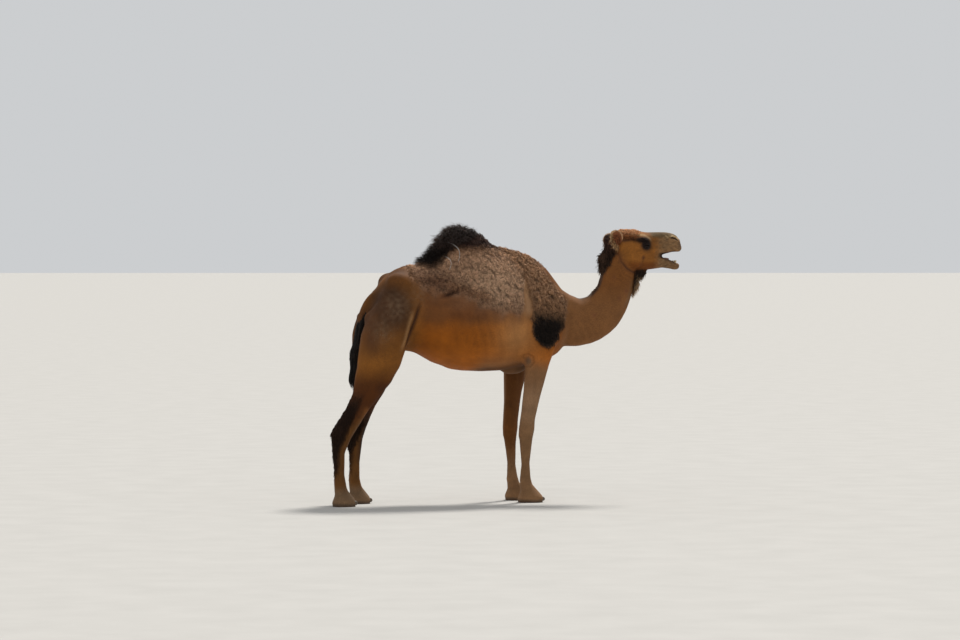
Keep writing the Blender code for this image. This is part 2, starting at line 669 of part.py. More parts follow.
def part_trunk(body):
    """Neck lengths, hump and tail root come off the trunk; the chest pad is let into it."""
    lower = part_by_plane(body, "neck_lower", *NECK_LOWER_CUT)
    upper = part_by_plane(lower, "neck_upper", *NECK_UPPER_CUT)
    hump = part_by_block(body, "hump", HUMP_OUTLINE, HUMP_DEPTH)
    size, place = CHEST_PAD
    pad = add_object("chest_pad", ellipsoid(place, size, CHEST_PAD_TURN, 12))
    let_in(body, pad)
    for obj, material in ((upper, "short_coat"), (lower, "short_coat"), (hump, "wool"), (pad, "callus"),
                          (body, "short_coat")):
        give(obj, material)


def make_tail(body):
    """The dock is rooted in the rump and hangs between the buttocks; the brush of hair takes over below."""
    dock = add_object("tail_dock", loft(path_rings(DOCK, 2, 12)))
    for host in (body, camel.objects["hind_right_thigh"], camel.objects["hind_left_thigh"]):
        let_in(host, dock)
    below = Vector((0, 0, DOCK[-1][1]))
    brush = add_object("tail_brush", loft(path_rings(BRUSH, 2, 12)))
    keep_side(dock, below, Vector((0, 0, 1)), CUT)
    keep_side(brush, below, Vector((0, 0, -1)), CUT)
    give(dock, "short_coat")
    give(brush, "dark_hair")


def make_teeth():
    """The lower incisors, joined in one arc at the tip of the jaw."""
    middle, radius, height = TEETH_ARC
    teeth = []
    for k in range(-TEETH_PER_SIDE, TEETH_PER_SIDE + 1):
        angle = radians(TEETH_SPACING * k)
        centre = Vector((middle + radius * cos(angle), radius * 0.86 * sin(angle), height))
        teeth.append(ellipsoid(centre, TOOTH, TOOTH_TURN, 10))
    return fused("lower_teeth", teeth, TEETH_VOXEL, 1, TEETH_TRIANGLES)


def part_head(head):
    """Eyes, ears, lower jaw, tongue and teeth."""
    for side, name in ((-1, "right"), (1, "left")):
        eye = add_object(f"eye_{name}", ellipsoid(on_side(EYE_CENTRE, side), [EYE_RADIUS] * 3, 0, 12))
        ear = make_ear(name, side)
        let_in(head, eye)
        let_in(head, ear)
        give(eye, "eye")
        give(ear, "short_coat")
    jaw = part_by_block(head, "lower_jaw", JAW_OUTLINE, JAW_DEPTH)
    teeth = make_teeth()
    size, place = TONGUE
    tongue = add_object("tongue", ellipsoid(place, size, TONGUE_TURN, 8))
    let_in(jaw, tongue)
    let_in(jaw, teeth, GUM_GAP)
    give(teeth, "tooth")
    give(tongue, "tongue")
    give(jaw, "short_coat")
    give(head, "short_coat")


def centre_on_origin():
    """Hangs every piece on one empty, moved so that the origin lies under the middle of the animal's box."""
    pieces = list(camel.objects)
    along_x = [vert.co.x for obj in pieces for vert in obj.data.vertices]
    stance = bpy.data.objects.new("stance", None)
    camel.objects.link(stance)
    for obj in pieces:
        obj.parent = stance
    stance.location.x = -(min(along_x) + max(along_x)) / 2


for old in list(bpy.data.objects):
    bpy.data.objects.remove(old)
camel = bpy.data.collections.new("dromedary_camel")
bpy.context.scene.collection.children.link(camel)

trunk = make_body()
part_limbs(trunk)
part_trunk(trunk)
make_tail(trunk)
part_head(make_head())
for flank, where in ((-1, "right"), (1, "left")):
    make_foot(f"fore_{where}_foot", FORE_LINES[where], FORE_SOLE, flank)
    make_foot(f"hind_{where}_foot", HIND_LINES[where], HIND_SOLE, flank)
centre_on_origin()
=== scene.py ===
"""A standing dromedary camel, life size: one skin, wool, short coat, eyes, teeth, tongue and nails."""
from math import atan2, cos, radians, sin, tau

import bmesh
import bpy
import numpy as np
from mathutils import Matrix, Vector
from mathutils.kdtree import KDTree


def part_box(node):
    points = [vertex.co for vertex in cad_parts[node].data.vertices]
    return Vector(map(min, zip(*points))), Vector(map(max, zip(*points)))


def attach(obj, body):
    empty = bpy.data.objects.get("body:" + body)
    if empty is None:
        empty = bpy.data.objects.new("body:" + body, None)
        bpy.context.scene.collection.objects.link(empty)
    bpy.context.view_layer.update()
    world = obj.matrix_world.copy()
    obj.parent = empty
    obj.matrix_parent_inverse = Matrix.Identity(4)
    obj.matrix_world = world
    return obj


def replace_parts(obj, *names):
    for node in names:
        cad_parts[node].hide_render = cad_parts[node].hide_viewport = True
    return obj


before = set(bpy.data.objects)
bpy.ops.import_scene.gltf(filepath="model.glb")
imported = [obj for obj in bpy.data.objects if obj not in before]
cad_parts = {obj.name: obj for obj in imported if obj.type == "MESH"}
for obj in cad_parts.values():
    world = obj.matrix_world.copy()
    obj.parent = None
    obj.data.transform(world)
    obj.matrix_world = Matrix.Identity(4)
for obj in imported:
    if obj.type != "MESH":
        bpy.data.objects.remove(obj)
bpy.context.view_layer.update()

# ---------------------------------------------------------------- skin
# The whole animal wears one skin. It follows the flesh, lies under it by the depth of the coat,
# and carries the folds, lids, lips, tendons and veins that show through short hair.
EYE_DRAWN = Vector((1.050, 0.0695, 1.823))  # the place of the eye that every place below is measured with
EYE_RADIUS = 0.0215
low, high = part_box("eye_left")
stance = ((low + high) / 2 - EYE_DRAWN).x  # how far the whole animal stands ahead of those places

FLESH_CELL = 0.0055
SKIN_CELL = 0.0031
SKIN_TRIANGLES = 185000
OVERLAP = 0.0008  # the pieces of flesh are swollen this much, so that they run into one another
SAME_PLACE = 1e-5  # points of a solid that lie nearer than this are one point
FLESH = [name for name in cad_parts
         if not name.startswith(("eye_", "lower_teeth", "tongue", "tail_brush")) and "nail" not in name]
EARS = [name for name in FLESH if name.startswith("ear_")]
EAR_ROOT = (0.832, 0.066, 1.846)
EAR_TIPS = {-1: (0.768, 0.118, 1.932), 1: (0.834, 0.136, 1.918)}
EAR_FACING = {-1: (-0.05, 1.0, 0.0), 1: (0.35, 0.94, 0.0)}  # the way the ear's hollow looks
EAR_WIDTHS = ((0.00, 0.024), (0.16, 0.038), (0.36, 0.050), (0.56, 0.053), (0.76, 0.049), (0.92, 0.035),
              (1.00, 0.016))  # the share of the way to its tip, and half the width there


def rows_of(items, attribute, width, kind=np.int32):
    """One attribute of a mesh's items, as rows of this width."""
    values = np.empty(len(items) * width, kind)
    items.foreach_get(attribute, values)
    return values.reshape(-1, width)


def mesh_arrays(mesh):
    """The mesh's points and its normals, in the places the animal is drawn in."""
    points = rows_of(mesh.vertices, "co", 3, np.float32)
    points[:, 0] -= stance
    return points, rows_of(mesh.vertex_normals, "vector", 3, np.float32)


def put_points(mesh, points):
    moved = points.astype(np.float32).copy()
    moved[:, 0] += stance
    mesh.vertices.foreach_set("co", moved.ravel())
    mesh.update()


def placed(name, data):
    """A new object in the scene."""
    obj = bpy.data.objects.new(name, data)
    bpy.context.scene.collection.objects.link(obj)
    return obj


def applied(obj):
    """The object's mesh with its modifiers made real."""
    bpy.context.view_layer.update()
    mesh = bpy.data.meshes.new_from_object(obj.evaluated_get(bpy.context.evaluated_depsgraph_get()))
    obj.modifiers.clear()
    obj.data = mesh
    return mesh


def unit(vectors):
    return vectors / np.maximum(np.linalg.norm(vectors, axis=1, keepdims=True), 1e-9)


def ramp(values, start, end):
    """0 before the start, 1 past the end, eased between; the start may be the larger one."""
    t = np.clip((values - start) / (end - start), 0, 1)
    return t * t * (3 - 2 * t)


def near(p, centre, reach):
    """A soft ball round a place, on both sides of the animal."""
    x = (p[:, 0] - centre[0]) / reach[0]
    y = (np.abs(p[:, 1]) - centre[1]) / reach[1]
    z = (p[:, 2] - centre[2]) / reach[2]
    return np.exp(-(x * x + y * y + z * z))


def near_line(p, path, reach, ends=0.25):
    """A soft band along a path in side view, on both sides of the animal, which fades towards its ends."""
    nearest = np.full(len(p), 9.0, np.float32)
    strength = np.zeros(len(p), np.float32)
    here = p[:, (0, 2)]
    lengths = [np.hypot(b[0] - a[0], b[1] - a[1]) for a, b in zip(path[:-1], path[1:])]
    before = 0
    for a, b, length in zip(np.array(path[:-1]), np.array(path[1:]), lengths):
        along = np.clip((here - a) @ (b - a) / ((b - a) @ (b - a)), 0, 1)
        distance = np.linalg.norm(here - a - along[:, None] * (b - a), axis=1)
        whole = (before + along * length) / sum(lengths)
        closer = distance < nearest
        nearest = np.where(closer, distance, nearest)
        strength = np.where(closer, ramp(whole, -0.02, ends) * ramp(whole, 1.02, 1 - ends), strength)
        before += length
    return np.exp(-(nearest / reach) ** 2) * strength


def line_value(x, stations):
    """A value read off along x, between stations of x and value."""
    xs, values = zip(*stations)
    return np.interp(x, xs, values)


def settled(values, share, pairs, rounds):
    """Every point's value drawn towards the mean of its neighbours, by its own share."""
    one, other = pairs
    count = len(values)
    links = np.maximum(np.bincount(one, minlength=count), 1)
    for _ in range(rounds):
        for k in range(values.shape[1]):
            mean = np.bincount(one, values[other, k], count) / links
            values[:, k] += share * (mean - values[:, k])
    return values


def mottle(p, size, turn):
    """Soft, irregular patches of about this size, from -1 to 1."""
    k = tau / size
    x, y, z = p[:, 0], p[:, 1], p[:, 2]
    one = np.sin(k * (x + 0.6 * z) + turn + 1.7 * np.sin(k * 0.6 * (z - 0.4 * y) + 2 * turn))
    two = np.sin(k * 1.3 * (z - 0.5 * x) + 3 * turn + 1.3 * np.sin(k * 0.7 * (x + 0.8 * y)))
    return (one + two) / 2


# Where each kind of coat grows, from 0 to 1. Their edges are ragged.
def crest_of_hump(p):
    """The black crest, which hangs lowest at its rear end."""
    x, z = p[:, 0], p[:, 2]
    edge = line_value(x, ((-0.72, 1.700), (-0.60, 1.672), (-0.53, 1.690), (-0.47, 1.765), (-0.40, 1.832),
                          (-0.30, 1.868), (-0.23, 1.910), (-0.17, 1.965)))
    edge = edge + 0.012 * mottle(p, 0.09, 1.0)
    return ramp(z, edge - 0.020, edge + 0.026) * ramp(x, -0.74, -0.67) * ramp(x, -0.13, -0.19)


def shoulder_strip(p):
    """The woolly strip from the withers down to the elbow."""
    x, z = p[:, 0], p[:, 2]
    rear = line_value(z, ((1.10, 0.225), (1.14, 0.170), (1.21, 0.120), (1.41, 0.130), (1.63, 0.070),
                          (1.78, -0.020)))
    fore = line_value(z, ((1.10, 0.235), (1.15, 0.300), (1.22, 0.345), (1.30, 0.380), (1.44, 0.425),
                          (1.52, 0.350), (1.75, 0.160)))
    ragged = 0.014 * mottle(p, 0.10, 2.0)
    return (ramp(x + ragged, rear - 0.025, rear + 0.025) * ramp(x + ragged, fore + 0.035, fore - 0.015)
            * ramp(z + ragged, 1.085, 1.135))


def black_patch(p):
    """The long black curls at the foot of the shoulder strip."""
    return shoulder_strip(p) * ramp(p[:, 2] + 0.25 * (p[:, 0] - 0.25), 1.40, 1.30)


def wool_edge(p):
    """The height at which the back's wool gives way to the short coat."""
    edge = line_value(p[:, 0], ((-0.74, 1.600), (-0.66, 1.545), (-0.44, 1.510), (-0.19, 1.405),
                                (0.00, 1.375), (0.045, 1.400), (0.065, 1.580), (0.11, 1.690),
                                (0.20, 1.700)))
    return edge + 0.022 * mottle(p, 0.16, 3.0)


def back_wool(p):
    """Wool over the back and the flanks of the hump."""
    x, z = p[:, 0], p[:, 2]
    edge = wool_edge(p)
    return ramp(z, edge - 0.075, edge + 0.065) * ramp(x, -0.80, -0.70) * ramp(x, 0.30, 0.20)


def wool(p):
    return np.maximum(back_wool(p), shoulder_strip(p)) * (1 - crest_of_hump(p))


def nape_hair(p):
    """Dark tousled hair behind the poll and down the nape."""
    front = line_value(p[:, 2], ((1.44, 0.640), (1.55, 0.705), (1.63, 0.725), (1.70, 0.775), (1.82, 0.832),
                                 (1.95, 0.850)))
    half = line_value(p[:, 2], ((1.44, 0.040), (1.62, 0.055), (1.74, 0.080), (1.85, 0.110)))
    return (ramp(p[:, 0], front + 0.012, front - 0.012) * ramp(p[:, 2], 1.46, 1.56)
            * ramp(p[:, 0], 0.58, 0.64) * ramp(np.abs(p[:, 1]), half + 0.012, half - 0.012))


def beard_hair(p):
    """The beard under the jaw and down the throat."""
    under_jaw = near(p, (1.020, 0.000, 1.632), (0.075, 0.045, 0.028))
    throat = near(p, (0.992, 0.000, 1.560), (0.036, 0.045, 0.090))
    return np.clip(1.6 * np.maximum(under_jaw, throat) - 0.25, 0, 1) * ramp(p[:, 0], 0.93, 0.96)


def hock_hair(p):
    """Long dark hair down the backs of the thighs and gaskins, over the hocks."""
    x, z = p[:, 0], p[:, 2]
    middle = line_value(z, ((0.20, -1.268), (0.40, -1.252), (0.51, -1.200), (0.79, -1.075), (0.98, -0.990)))
    middle = middle + 0.185 * (p[:, 1] > 0) * ramp(z, 0.80, 0.55)
    behind = ramp(x, middle - 0.030, middle - 0.075)
    return behind * ramp(z, 0.16, 0.28) * ramp(z, 0.84, 0.68)


def forelock(p):
    """The curly rust-coloured hair on top of the head."""
    x, y, z = p[:, 0], np.abs(p[:, 1]), p[:, 2]
    return (ramp(z, 1.874, 1.890) * ramp(x, 0.835, 0.860) * ramp(x + 0.6 * y, 1.045, 1.000)
            * ramp(y, 0.090, 0.075))


def coat_depth(p):
    """How far the skin lies inside the flesh that is drawn out to the tips of the hair."""
    crest = crest_of_hump(p)
    top_of_crest = crest * ramp(p[:, 2] - 0.35 * p[:, 0], 1.84, 1.98)
    depth = 0.0022 + 0.010 * wool(p) + 0.010 * black_patch(p) + 0.012 * crest + 0.024 * top_of_crest
    depth += 0.020 * nape_hair(p) + 0.018 * beard_hair(p) + 0.003 * hock_hair(p)
    bare = ramp(p[:, 2], 0.20, 0.08) + ramp(p[:, 0], 0.90, 1.05) * ramp(p[:, 2], 1.62, 1.66)
    return depth - 0.0010 * np.clip(bare, 0, 1)


# Relief: a place, its reach along each axis, and the height, which is negative for a hollow.
HEAD_RELIEF = {
    "brow": ((1.030, 0.078, 1.872), (0.044, 0.030, 0.011), 0.0045),
    "brow_front": ((1.078, 0.068, 1.858), (0.020, 0.026, 0.014), 0.0030),
    "crease_over_lid": ((1.046, 0.088, 1.858), (0.036, 0.026, 0.0035), -0.0030),
    "bag_under_eye": ((1.050, 0.088, 1.793), (0.030, 0.026, 0.006), 0.0020),
    "tear_groove": ((1.088, 0.080, 1.806), (0.018, 0.024, 0.006), -0.0035),
    "temple": ((0.958, 0.078, 1.868), (0.030, 0.030, 0.018), -0.0050),
    "cheek_arch": ((0.985, 0.084, 1.812), (0.060, 0.030, 0.008), 0.0035),
    "cheek_muscle": ((0.930, 0.078, 1.735), (0.045, 0.040, 0.055), 0.0040),
    "before_cheek": ((1.030, 0.072, 1.725), (0.016, 0.040, 0.045), -0.0040),
    "face_crest": ((1.112, 0.062, 1.802), (0.045, 0.030, 0.008), 0.0035),
    "side_of_nose": ((1.150, 0.056, 1.862), (0.050, 0.030, 0.022), -0.0050),
    "nose_ridge": ((1.170, 0.022, 1.925), (0.070, 0.016, 0.020), 0.0030),
    "over_nostril": ((1.284, 0.044, 1.900), (0.032, 0.024, 0.008), 0.0060),
    "behind_nostril": ((1.222, 0.052, 1.878), (0.014, 0.025, 0.020), -0.0040),
    "before_nostril": ((1.328, 0.036, 1.872), (0.014, 0.024, 0.014), 0.0040),
    "under_nostril": ((1.292, 0.050, 1.866), (0.028, 0.022, 0.007), 0.0035),
    "upper_lip": ((1.305, 0.040, 1.806), (0.034, 0.030, 0.012), 0.0045),
    "lip_pad": ((1.250, 0.054, 1.800), (0.034, 0.025, 0.012), 0.0030),
    "split_lip": ((1.348, 0.000, 1.812), (0.030, 0.0035, 0.030), -0.0080),
    "chin": ((1.305, 0.000, 1.662), (0.034, 0.030, 0.012), 0.0040),
    "lower_lip": ((1.262, 0.038, 1.722), (0.050, 0.020, 0.007), 0.0030),
    "forehead": ((0.985, 0.000, 1.940), (0.060, 0.040, 0.025), 0.0030),
}
BODY_RELIEF = {
    "behind_hip": ((-0.900, 0.170, 1.520), (0.045, 0.060, 0.070), -0.008),
    "flank_hollow": ((-0.640, 0.240, 1.420), (0.070, 0.080, 0.090), -0.012),
    "thigh_swell": ((-0.905, 0.250, 1.200), (0.070, 0.090, 0.130), 0.012),
    "stifle": ((-0.955, 0.210, 0.880), (0.042, 0.070, 0.042), 0.010),
    "below_stifle": ((-1.000, 0.200, 0.815), (0.034, 0.060, 0.020), -0.006),
    "above_stifle": ((-0.900, 0.230, 0.975), (0.050, 0.060, 0.026), -0.005),
    "gaskin_muscle": ((-1.060, 0.190, 0.780), (0.050, 0.060, 0.090), 0.006),
    "haunch_groove": ((-0.985, 0.220, 1.290), (0.022, 0.070, 0.120), -0.007),
    "hock_point": ((-1.255, 0.130, 0.545), (0.030, 0.040, 0.045), 0.004),
    "hock_hollow": ((-1.205, 0.160, 0.600), (0.024, 0.030, 0.060), -0.006),
    "forearm_muscle": ((0.195, 0.180, 0.860), (0.045, 0.060, 0.120), 0.006),
    "forearm_groove": ((0.140, 0.190, 0.800), (0.014, 0.050, 0.130), -0.004),
    "belly_swell": ((-0.300, 0.240, 1.080), (0.260, 0.120, 0.060), 0.006),
    "brisket": ((0.300, 0.000, 1.080), (0.090, 0.060, 0.050), 0.006),
    "neck_base": ((0.420, 0.110, 1.240), (0.070, 0.060, 0.080), 0.005),
    "over_flank_fold": ((-0.480, 0.260, 1.545), (0.110, 0.080, 0.030), 0.010),
    "point_of_shoulder": ((0.330, 0.150, 1.180), (0.050, 0.060, 0.055), 0.006),
    "shoulder_blade": ((0.170, 0.210, 1.460), (0.028, 0.060, 0.140), 0.005),
    "behind_elbow": ((0.010, 0.220, 1.070), (0.045, 0.080, 0.060), -0.010),
    "elbow_pad": ((0.092, 0.200, 1.008), (0.024, 0.040, 0.032), 0.010),
    "knee_cap": ((0.150, 0.140, 0.520), (0.030, 0.045, 0.045), 0.005),
    "knee_side": ((0.090, 0.185, 0.500), (0.030, 0.020, 0.030), 0.004),
    "knee_back": ((0.045, 0.138, 0.475), (0.022, 0.025, 0.022), 0.006),
    "fetlock_fore": ((0.065, 0.138, 0.150), (0.022, 0.030, 0.022), 0.005),
    "navel": ((-0.430, 0.000, 0.935), (0.060, 0.035, 0.030), 0.010),
}
# Creases and cords: a path in side view, half its width, and its height.
CREASES = (
    (((0.827, 1.800), (0.858, 1.712), (0.906, 1.664), (0.957, 1.640), (1.010, 1.645)), 0.008, -0.0055),
    (((0.945, 1.620), (0.958, 1.550), (0.935, 1.440), (0.880, 1.360), (0.790, 1.290)), 0.016, -0.0035),
    (((0.880, 1.640), (0.885, 1.540), (0.860, 1.440), (0.790, 1.340)), 0.024, 0.0025),
    (((-0.715, 1.460), (-0.752, 1.340), (-0.790, 1.210), (-0.840, 1.070)), 0.015, -0.0150),
    (((-0.755, 1.450), (-0.790, 1.320), (-0.830, 1.190), (-0.875, 1.060)), 0.022, 0.0090),
    (((-0.585, 1.462), (-0.500, 1.490), (-0.400, 1.530), (-0.320, 1.545)), 0.014, -0.0130),
    (((-0.600, 1.430), (-0.500, 1.455), (-0.400, 1.480)), 0.022, 0.0050),
    (((0.052, 1.010), (0.066, 1.048), (0.096, 1.058), (0.124, 1.040), (0.130, 1.000), (0.108, 0.966),
      (0.076, 0.964)), 0.007, -0.0060),
    (((0.832, 1.672), (0.850, 1.640), (0.868, 1.610)), 0.006, 0.0022),
    (((-0.990, 1.440), (-1.040, 1.250), (-1.050, 1.080), (-1.040, 0.950)), 0.020, -0.0040),
    (((0.090, 1.560), (0.110, 1.400), (0.085, 1.260), (0.060, 1.130), (0.030, 1.060)), 0.026, -0.0045),
    (((0.455, 1.130), (0.430, 1.260), (0.470, 1.380)), 0.028, -0.0040),
    (((-1.150, 0.640), (-1.215, 0.560)), 0.010, -0.0040),
    (((1.190, 1.762), (1.168, 1.757), (1.150, 1.742)), 0.004, -0.0040),
)


def far_out(p):
    """Side creases fade out towards the middle plane."""
    return ramp(np.abs(p[:, 1]), 0.015, 0.045)


def relief(p):
    """The height of skin, fat and muscle over the plain flesh."""
    height = np.zeros(len(p), np.float32)
    for centre, reach, rise in (*HEAD_RELIEF.values(), *BODY_RELIEF.values()):
        height += rise * near(p, centre, reach)
    for path, reach, rise in CREASES:
        height += rise * near_line(p, path, reach) * far_out(p)
    x, z = p[:, 0], p[:, 2]
    ribs = np.sin((x + 0.28 * z) * 96) * near(p, (-0.27, 0.27, 1.22), (0.22, 0.12, 0.17))
    folds = np.sin((0.55 * x + z) * 190) * near(p, (0.900, 0.060, 1.610), (0.060, 0.040, 0.045))
    neck_rings = np.sin((x * 0.9 + z * 0.5) * 120) * near(p, (0.56, 0.09, 1.22), (0.12, 0.06, 0.08))
    return height + 0.0013 * ribs + 0.0014 * folds + 0.0010 * neck_rings


def slit_nostril(p):
    """A slanting comma-shaped slit on each side of the nose."""
    path = ((1.246, 1.884), (1.268, 1.889), (1.292, 1.880), (1.314, 1.864))
    return near_line(p, path, 0.0042) * ramp(np.abs(p[:, 1]), 0.012, 0.026)


def almond(around):
    """How far from the gaze, as an angle, the lids' opening reaches this way; 0 is towards the nose."""
    high_half = np.where(np.sin(around) > 0, radians(27), radians(29))
    long_half = radians(50)
    pointed = 1.6
    level = np.abs(np.cos(around) / long_half) ** pointed
    upright = np.abs(np.sin(around) / high_half) ** pointed
    return (level + upright) ** (-1 / pointed)


def eye_axes(side):
    """The eye's middle, the way it looks, and the ways to the nose and up across it."""
    centre = Vector((EYE_DRAWN.x + stance, EYE_DRAWN.y * side, EYE_DRAWN.z))
    gaze = Vector((0.12, 0.99 * side, 0.00)).normalized()
    to_nose = Vector((0.97, 0, -0.16))
    to_nose = (to_nose - gaze * to_nose.dot(gaze)).normalized()
    upright = to_nose.cross(gaze) * side
    return centre, gaze, to_nose, upright


def lids(side):
    """The two lids as one ring, which lies on the ball, rolls over at its rim and sinks under the skin."""
    centre, gaze, to_nose, upright = eye_axes(side)
    # Each row's angle past the rim, and its height over the ball.
    rings = ((-0.03, 0.0004), (0.00, 0.0016), (0.05, 0.0030), (0.14, 0.0037), (0.20, 0.0030),
             (0.25, 0.0026), (0.33, 0.0036), (0.44, 0.0034), (0.56, 0.0012), (0.70, -0.0030))
    ring = bmesh.new()
    row = bmesh.ops.create_circle(ring, segments=72, radius=1)["verts"]
    edges = list({edge for vert in row for edge in vert.link_edges})
    for number, (past, height) in enumerate(rings):
        if number:
            made = bmesh.ops.extrude_edge_only(ring, edges=edges)["geom"]
            row = [item for item in made if isinstance(item, bmesh.types.BMVert)]
            edges = [item for item in made if isinstance(item, bmesh.types.BMEdge) and all(
                vert in row for vert in item.verts)]
        for vert in row:
            if number:
                around = vert_angle(vert, centre, to_nose, upright)
            else:
                around = atan2(vert.co.y, vert.co.x)
            off = almond(around) + past
            over = EYE_RADIUS + height + 0.0012 * max(0, sin(around)) * (0 < past < 0.5)
            across = cos(around) * to_nose + sin(around) * upright
            vert.co = centre + over * (cos(off) * gaze + sin(off) * across)
    bmesh.ops.recalc_face_normals(ring, faces=ring.faces)
    if ring.faces[0].normal.dot(gaze) < 0:
        bmesh.ops.reverse_faces(ring, faces=ring.faces)
    return ring


def vert_angle(vert, centre, to_nose, upright):
    """Where round the eye a point already placed on the ring lies."""
    off = vert.co - centre
    return atan2(off.dot(upright), off.dot(to_nose))


def seated_eyes(p):
    """The skin swells round each eye to meet its lids, and dips out of sight behind them."""
    for side in (-1, 1):
        centre, gaze, to_nose, upright = eye_axes(side)
        off = p - np.array(centre - Vector((stance, 0, 0)))
        distance = np.linalg.norm(off, axis=1)
        across, up, out = off @ np.array(to_nose), off @ np.array(upright), off @ np.array(gaze)
        past = np.arctan2(np.hypot(across, up), out) - almond(np.arctan2(up, across))
        lid = EYE_RADIUS + 0.0030 - 0.0075 * ramp(past, 0.46, 0.20)
        fillet = 0.012
        swollen = (distance + lid + np.sqrt((distance - lid) ** 2 + fillet ** 2)) / 2 - 0.0012
        goal = lid + (swollen - lid) * ramp(past, 0.36, 0.75)
        share = ramp(distance, 0.058, 0.044) * (out > -0.004)
        p = p + off * ((goal / np.maximum(distance, 1e-6) - 1) * share)[:, None]
    return p


def on_ear(p, side):
    """How far up this side's ear points lie, as a share of it, and how far across, where 1 is the rim."""
    mirrored = Vector((1, side, 1))
    root, tip, facing = (Vector(way) * mirrored for way in (EAR_ROOT, EAR_TIPS[side], EAR_FACING[side]))
    up = (tip - root).normalized()
    facing = (facing - up * facing.dot(up)).normalized()
    sideways = up.cross(facing)
    off = p - np.array(root)
    rise = off @ np.array(up) / (tip - root).length
    across = off @ np.array(sideways) / line_value(rise, EAR_WIDTHS)
    return rise, across, np.array(up), np.array(sideways), np.array(facing)


def with_ears_and_lids(mesh):
    """Joins the thin ears and the lids, which a coarse remesh would spoil, to the finished skin."""
    places, _ = mesh_arrays(mesh)
    put_points(mesh, seated_eyes(places))
    whole = bmesh.new()
    whole.from_mesh(mesh)
    before = len(whole.verts)
    ears = placed("ears", flesh_of(EARS, OVERLAP))
    rounded = ears.modifiers.new("rounded", "SUBSURF")
    rounded.levels = rounded.render_levels = 2
    applied(ears)
    places, _ = mesh_arrays(ears.data)
    side = np.sign(places[:, 1])
    ones = np.ones(len(side))
    root = np.stack([EAR_ROOT[0] * ones, EAR_ROOT[1] * side, EAR_ROOT[2] * ones], 1)
    # The ears' roots are drawn into the head, so that no gap shows between the two.
    inwards = np.array((0.010, 0.0, -0.006)) - np.stack([side * 0, 0.016 * side, side * 0], 1)
    places += inwards * ramp(np.linalg.norm(places - root, axis=1), 0.045, 0.020)[:, None]
    put_points(ears.data, places)
    whole.from_mesh(ears.data)
    ears_end = len(whole.verts)
    bpy.data.objects.remove(ears)
    for side in (-1, 1):
        ring = lids(side)
        lid = bpy.data.meshes.new("lids")
        ring.to_mesh(lid)
        ring.free()
        whole.from_mesh(lid)
    whole.to_mesh(mesh)
    whole.free()
    return before, ears_end


def flesh_of(names, swell):
    """One mesh of loose, slightly swollen copies of these pieces of flesh."""
    whole = bmesh.new()
    for name in names:
        part = bmesh.new()
        part.from_mesh(bpy.data.objects[name].data)
        bmesh.ops.remove_doubles(part, verts=part.verts, dist=SAME_PLACE)
        part.normal_update()
        for vert, outward in [(v, v.normal.copy()) for v in part.verts]:
            vert.co += outward * swell
        flesh = bpy.data.meshes.new("flesh")
        part.to_mesh(flesh)
        part.free()
        whole.from_mesh(flesh)
        bpy.data.meshes.remove(flesh)
    mesh = bpy.data.meshes.new("flesh")
    whole.to_mesh(mesh)
    whole.free()
    return mesh


def remeshed(obj, cell):
    remesh = obj.modifiers.new("remesh", "REMESH")
    remesh.mode = "VOXEL"
    remesh.voxel_size = cell
    return applied(obj)


def neighbours(mesh):
    ends = rows_of(mesh.edges, "vertices", 2)
    return np.concatenate([ends[:, 0], ends[:, 1]]), np.concatenate([ends[:, 1], ends[:, 0]])


EYES = ["eye_left", "eye_right"]
skin = placed("skin", flesh_of([name for name in FLESH if name not in EARS] + EYES, OVERLAP))
mesh = remeshed(skin, FLESH_CELL)
# The joined flesh is smoothed, most on the trunk and the neck. The girth that it loses is given back.
points, normals = mesh_arrays(mesh)
pairs = neighbours(mesh)
in_head = ramp(points[:, 0], 0.80, 0.88) * ramp(points[:, 2], 1.60, 1.66)
in_leg = ramp(points[:, 2], 1.02, 0.92)
share = 0.5 - 0.36 * np.maximum(in_head, in_leg)
SMOOTHINGS = 40
SOLE = 0.006  # whatever lies lower is pressed flat against the ground
plain = settled(points.astype(np.float64), share, pairs, SMOOTHINGS)
shrunk = np.sum((points - plain) * normals, axis=1, keepdims=True)
shrunk = settled(shrunk, np.full(len(points), 0.5), pairs, SMOOTHINGS)
hip = np.clip(near(points, (-0.830, 0.130, 1.590), (0.170, 0.160, 0.130)) * 1.6, 0, 1)
plain = settled(plain, 0.6 * hip, pairs, 3 * SMOOTHINGS)
shrunk *= 1 - 0.5 * hip[:, None]
put_points(mesh, plain)
plain, normals = mesh_arrays(mesh)
depth = settled(coat_depth(plain)[:, None].astype(np.float64), np.full(len(plain), 0.5), pairs, SMOOTHINGS)
put_points(mesh, plain - normals * (depth + OVERLAP - shrunk))
mesh = remeshed(skin, SKIN_CELL)
# The relief is laid on the finer mesh, which is then smoothed a little, least about the face.
points, normals = mesh_arrays(mesh)
pairs = neighbours(mesh)
points = points + normals * relief(points)[:, None]
points -= normals * (0.010 * slit_nostril(points))[:, None]
fine = ramp(points[:, 0], 0.95, 1.02)
points = settled(points.astype(np.float64), 0.45 * (1 - 0.8 * fine), pairs, 4)
points[points[:, 2] < SOLE, 2] = 0.0
put_points(mesh, points)
thin = skin.modifiers.new("thin", "DECIMATE")
thin.ratio = SKIN_TRIANGLES / (2 * len(mesh.polygons))
mesh = applied(skin)
ears_start, ears_end = with_ears_and_lids(mesh)
mesh.shade_smooth()
mesh.name = "skin"
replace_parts(skin, *FLESH)
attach(skin, "root")


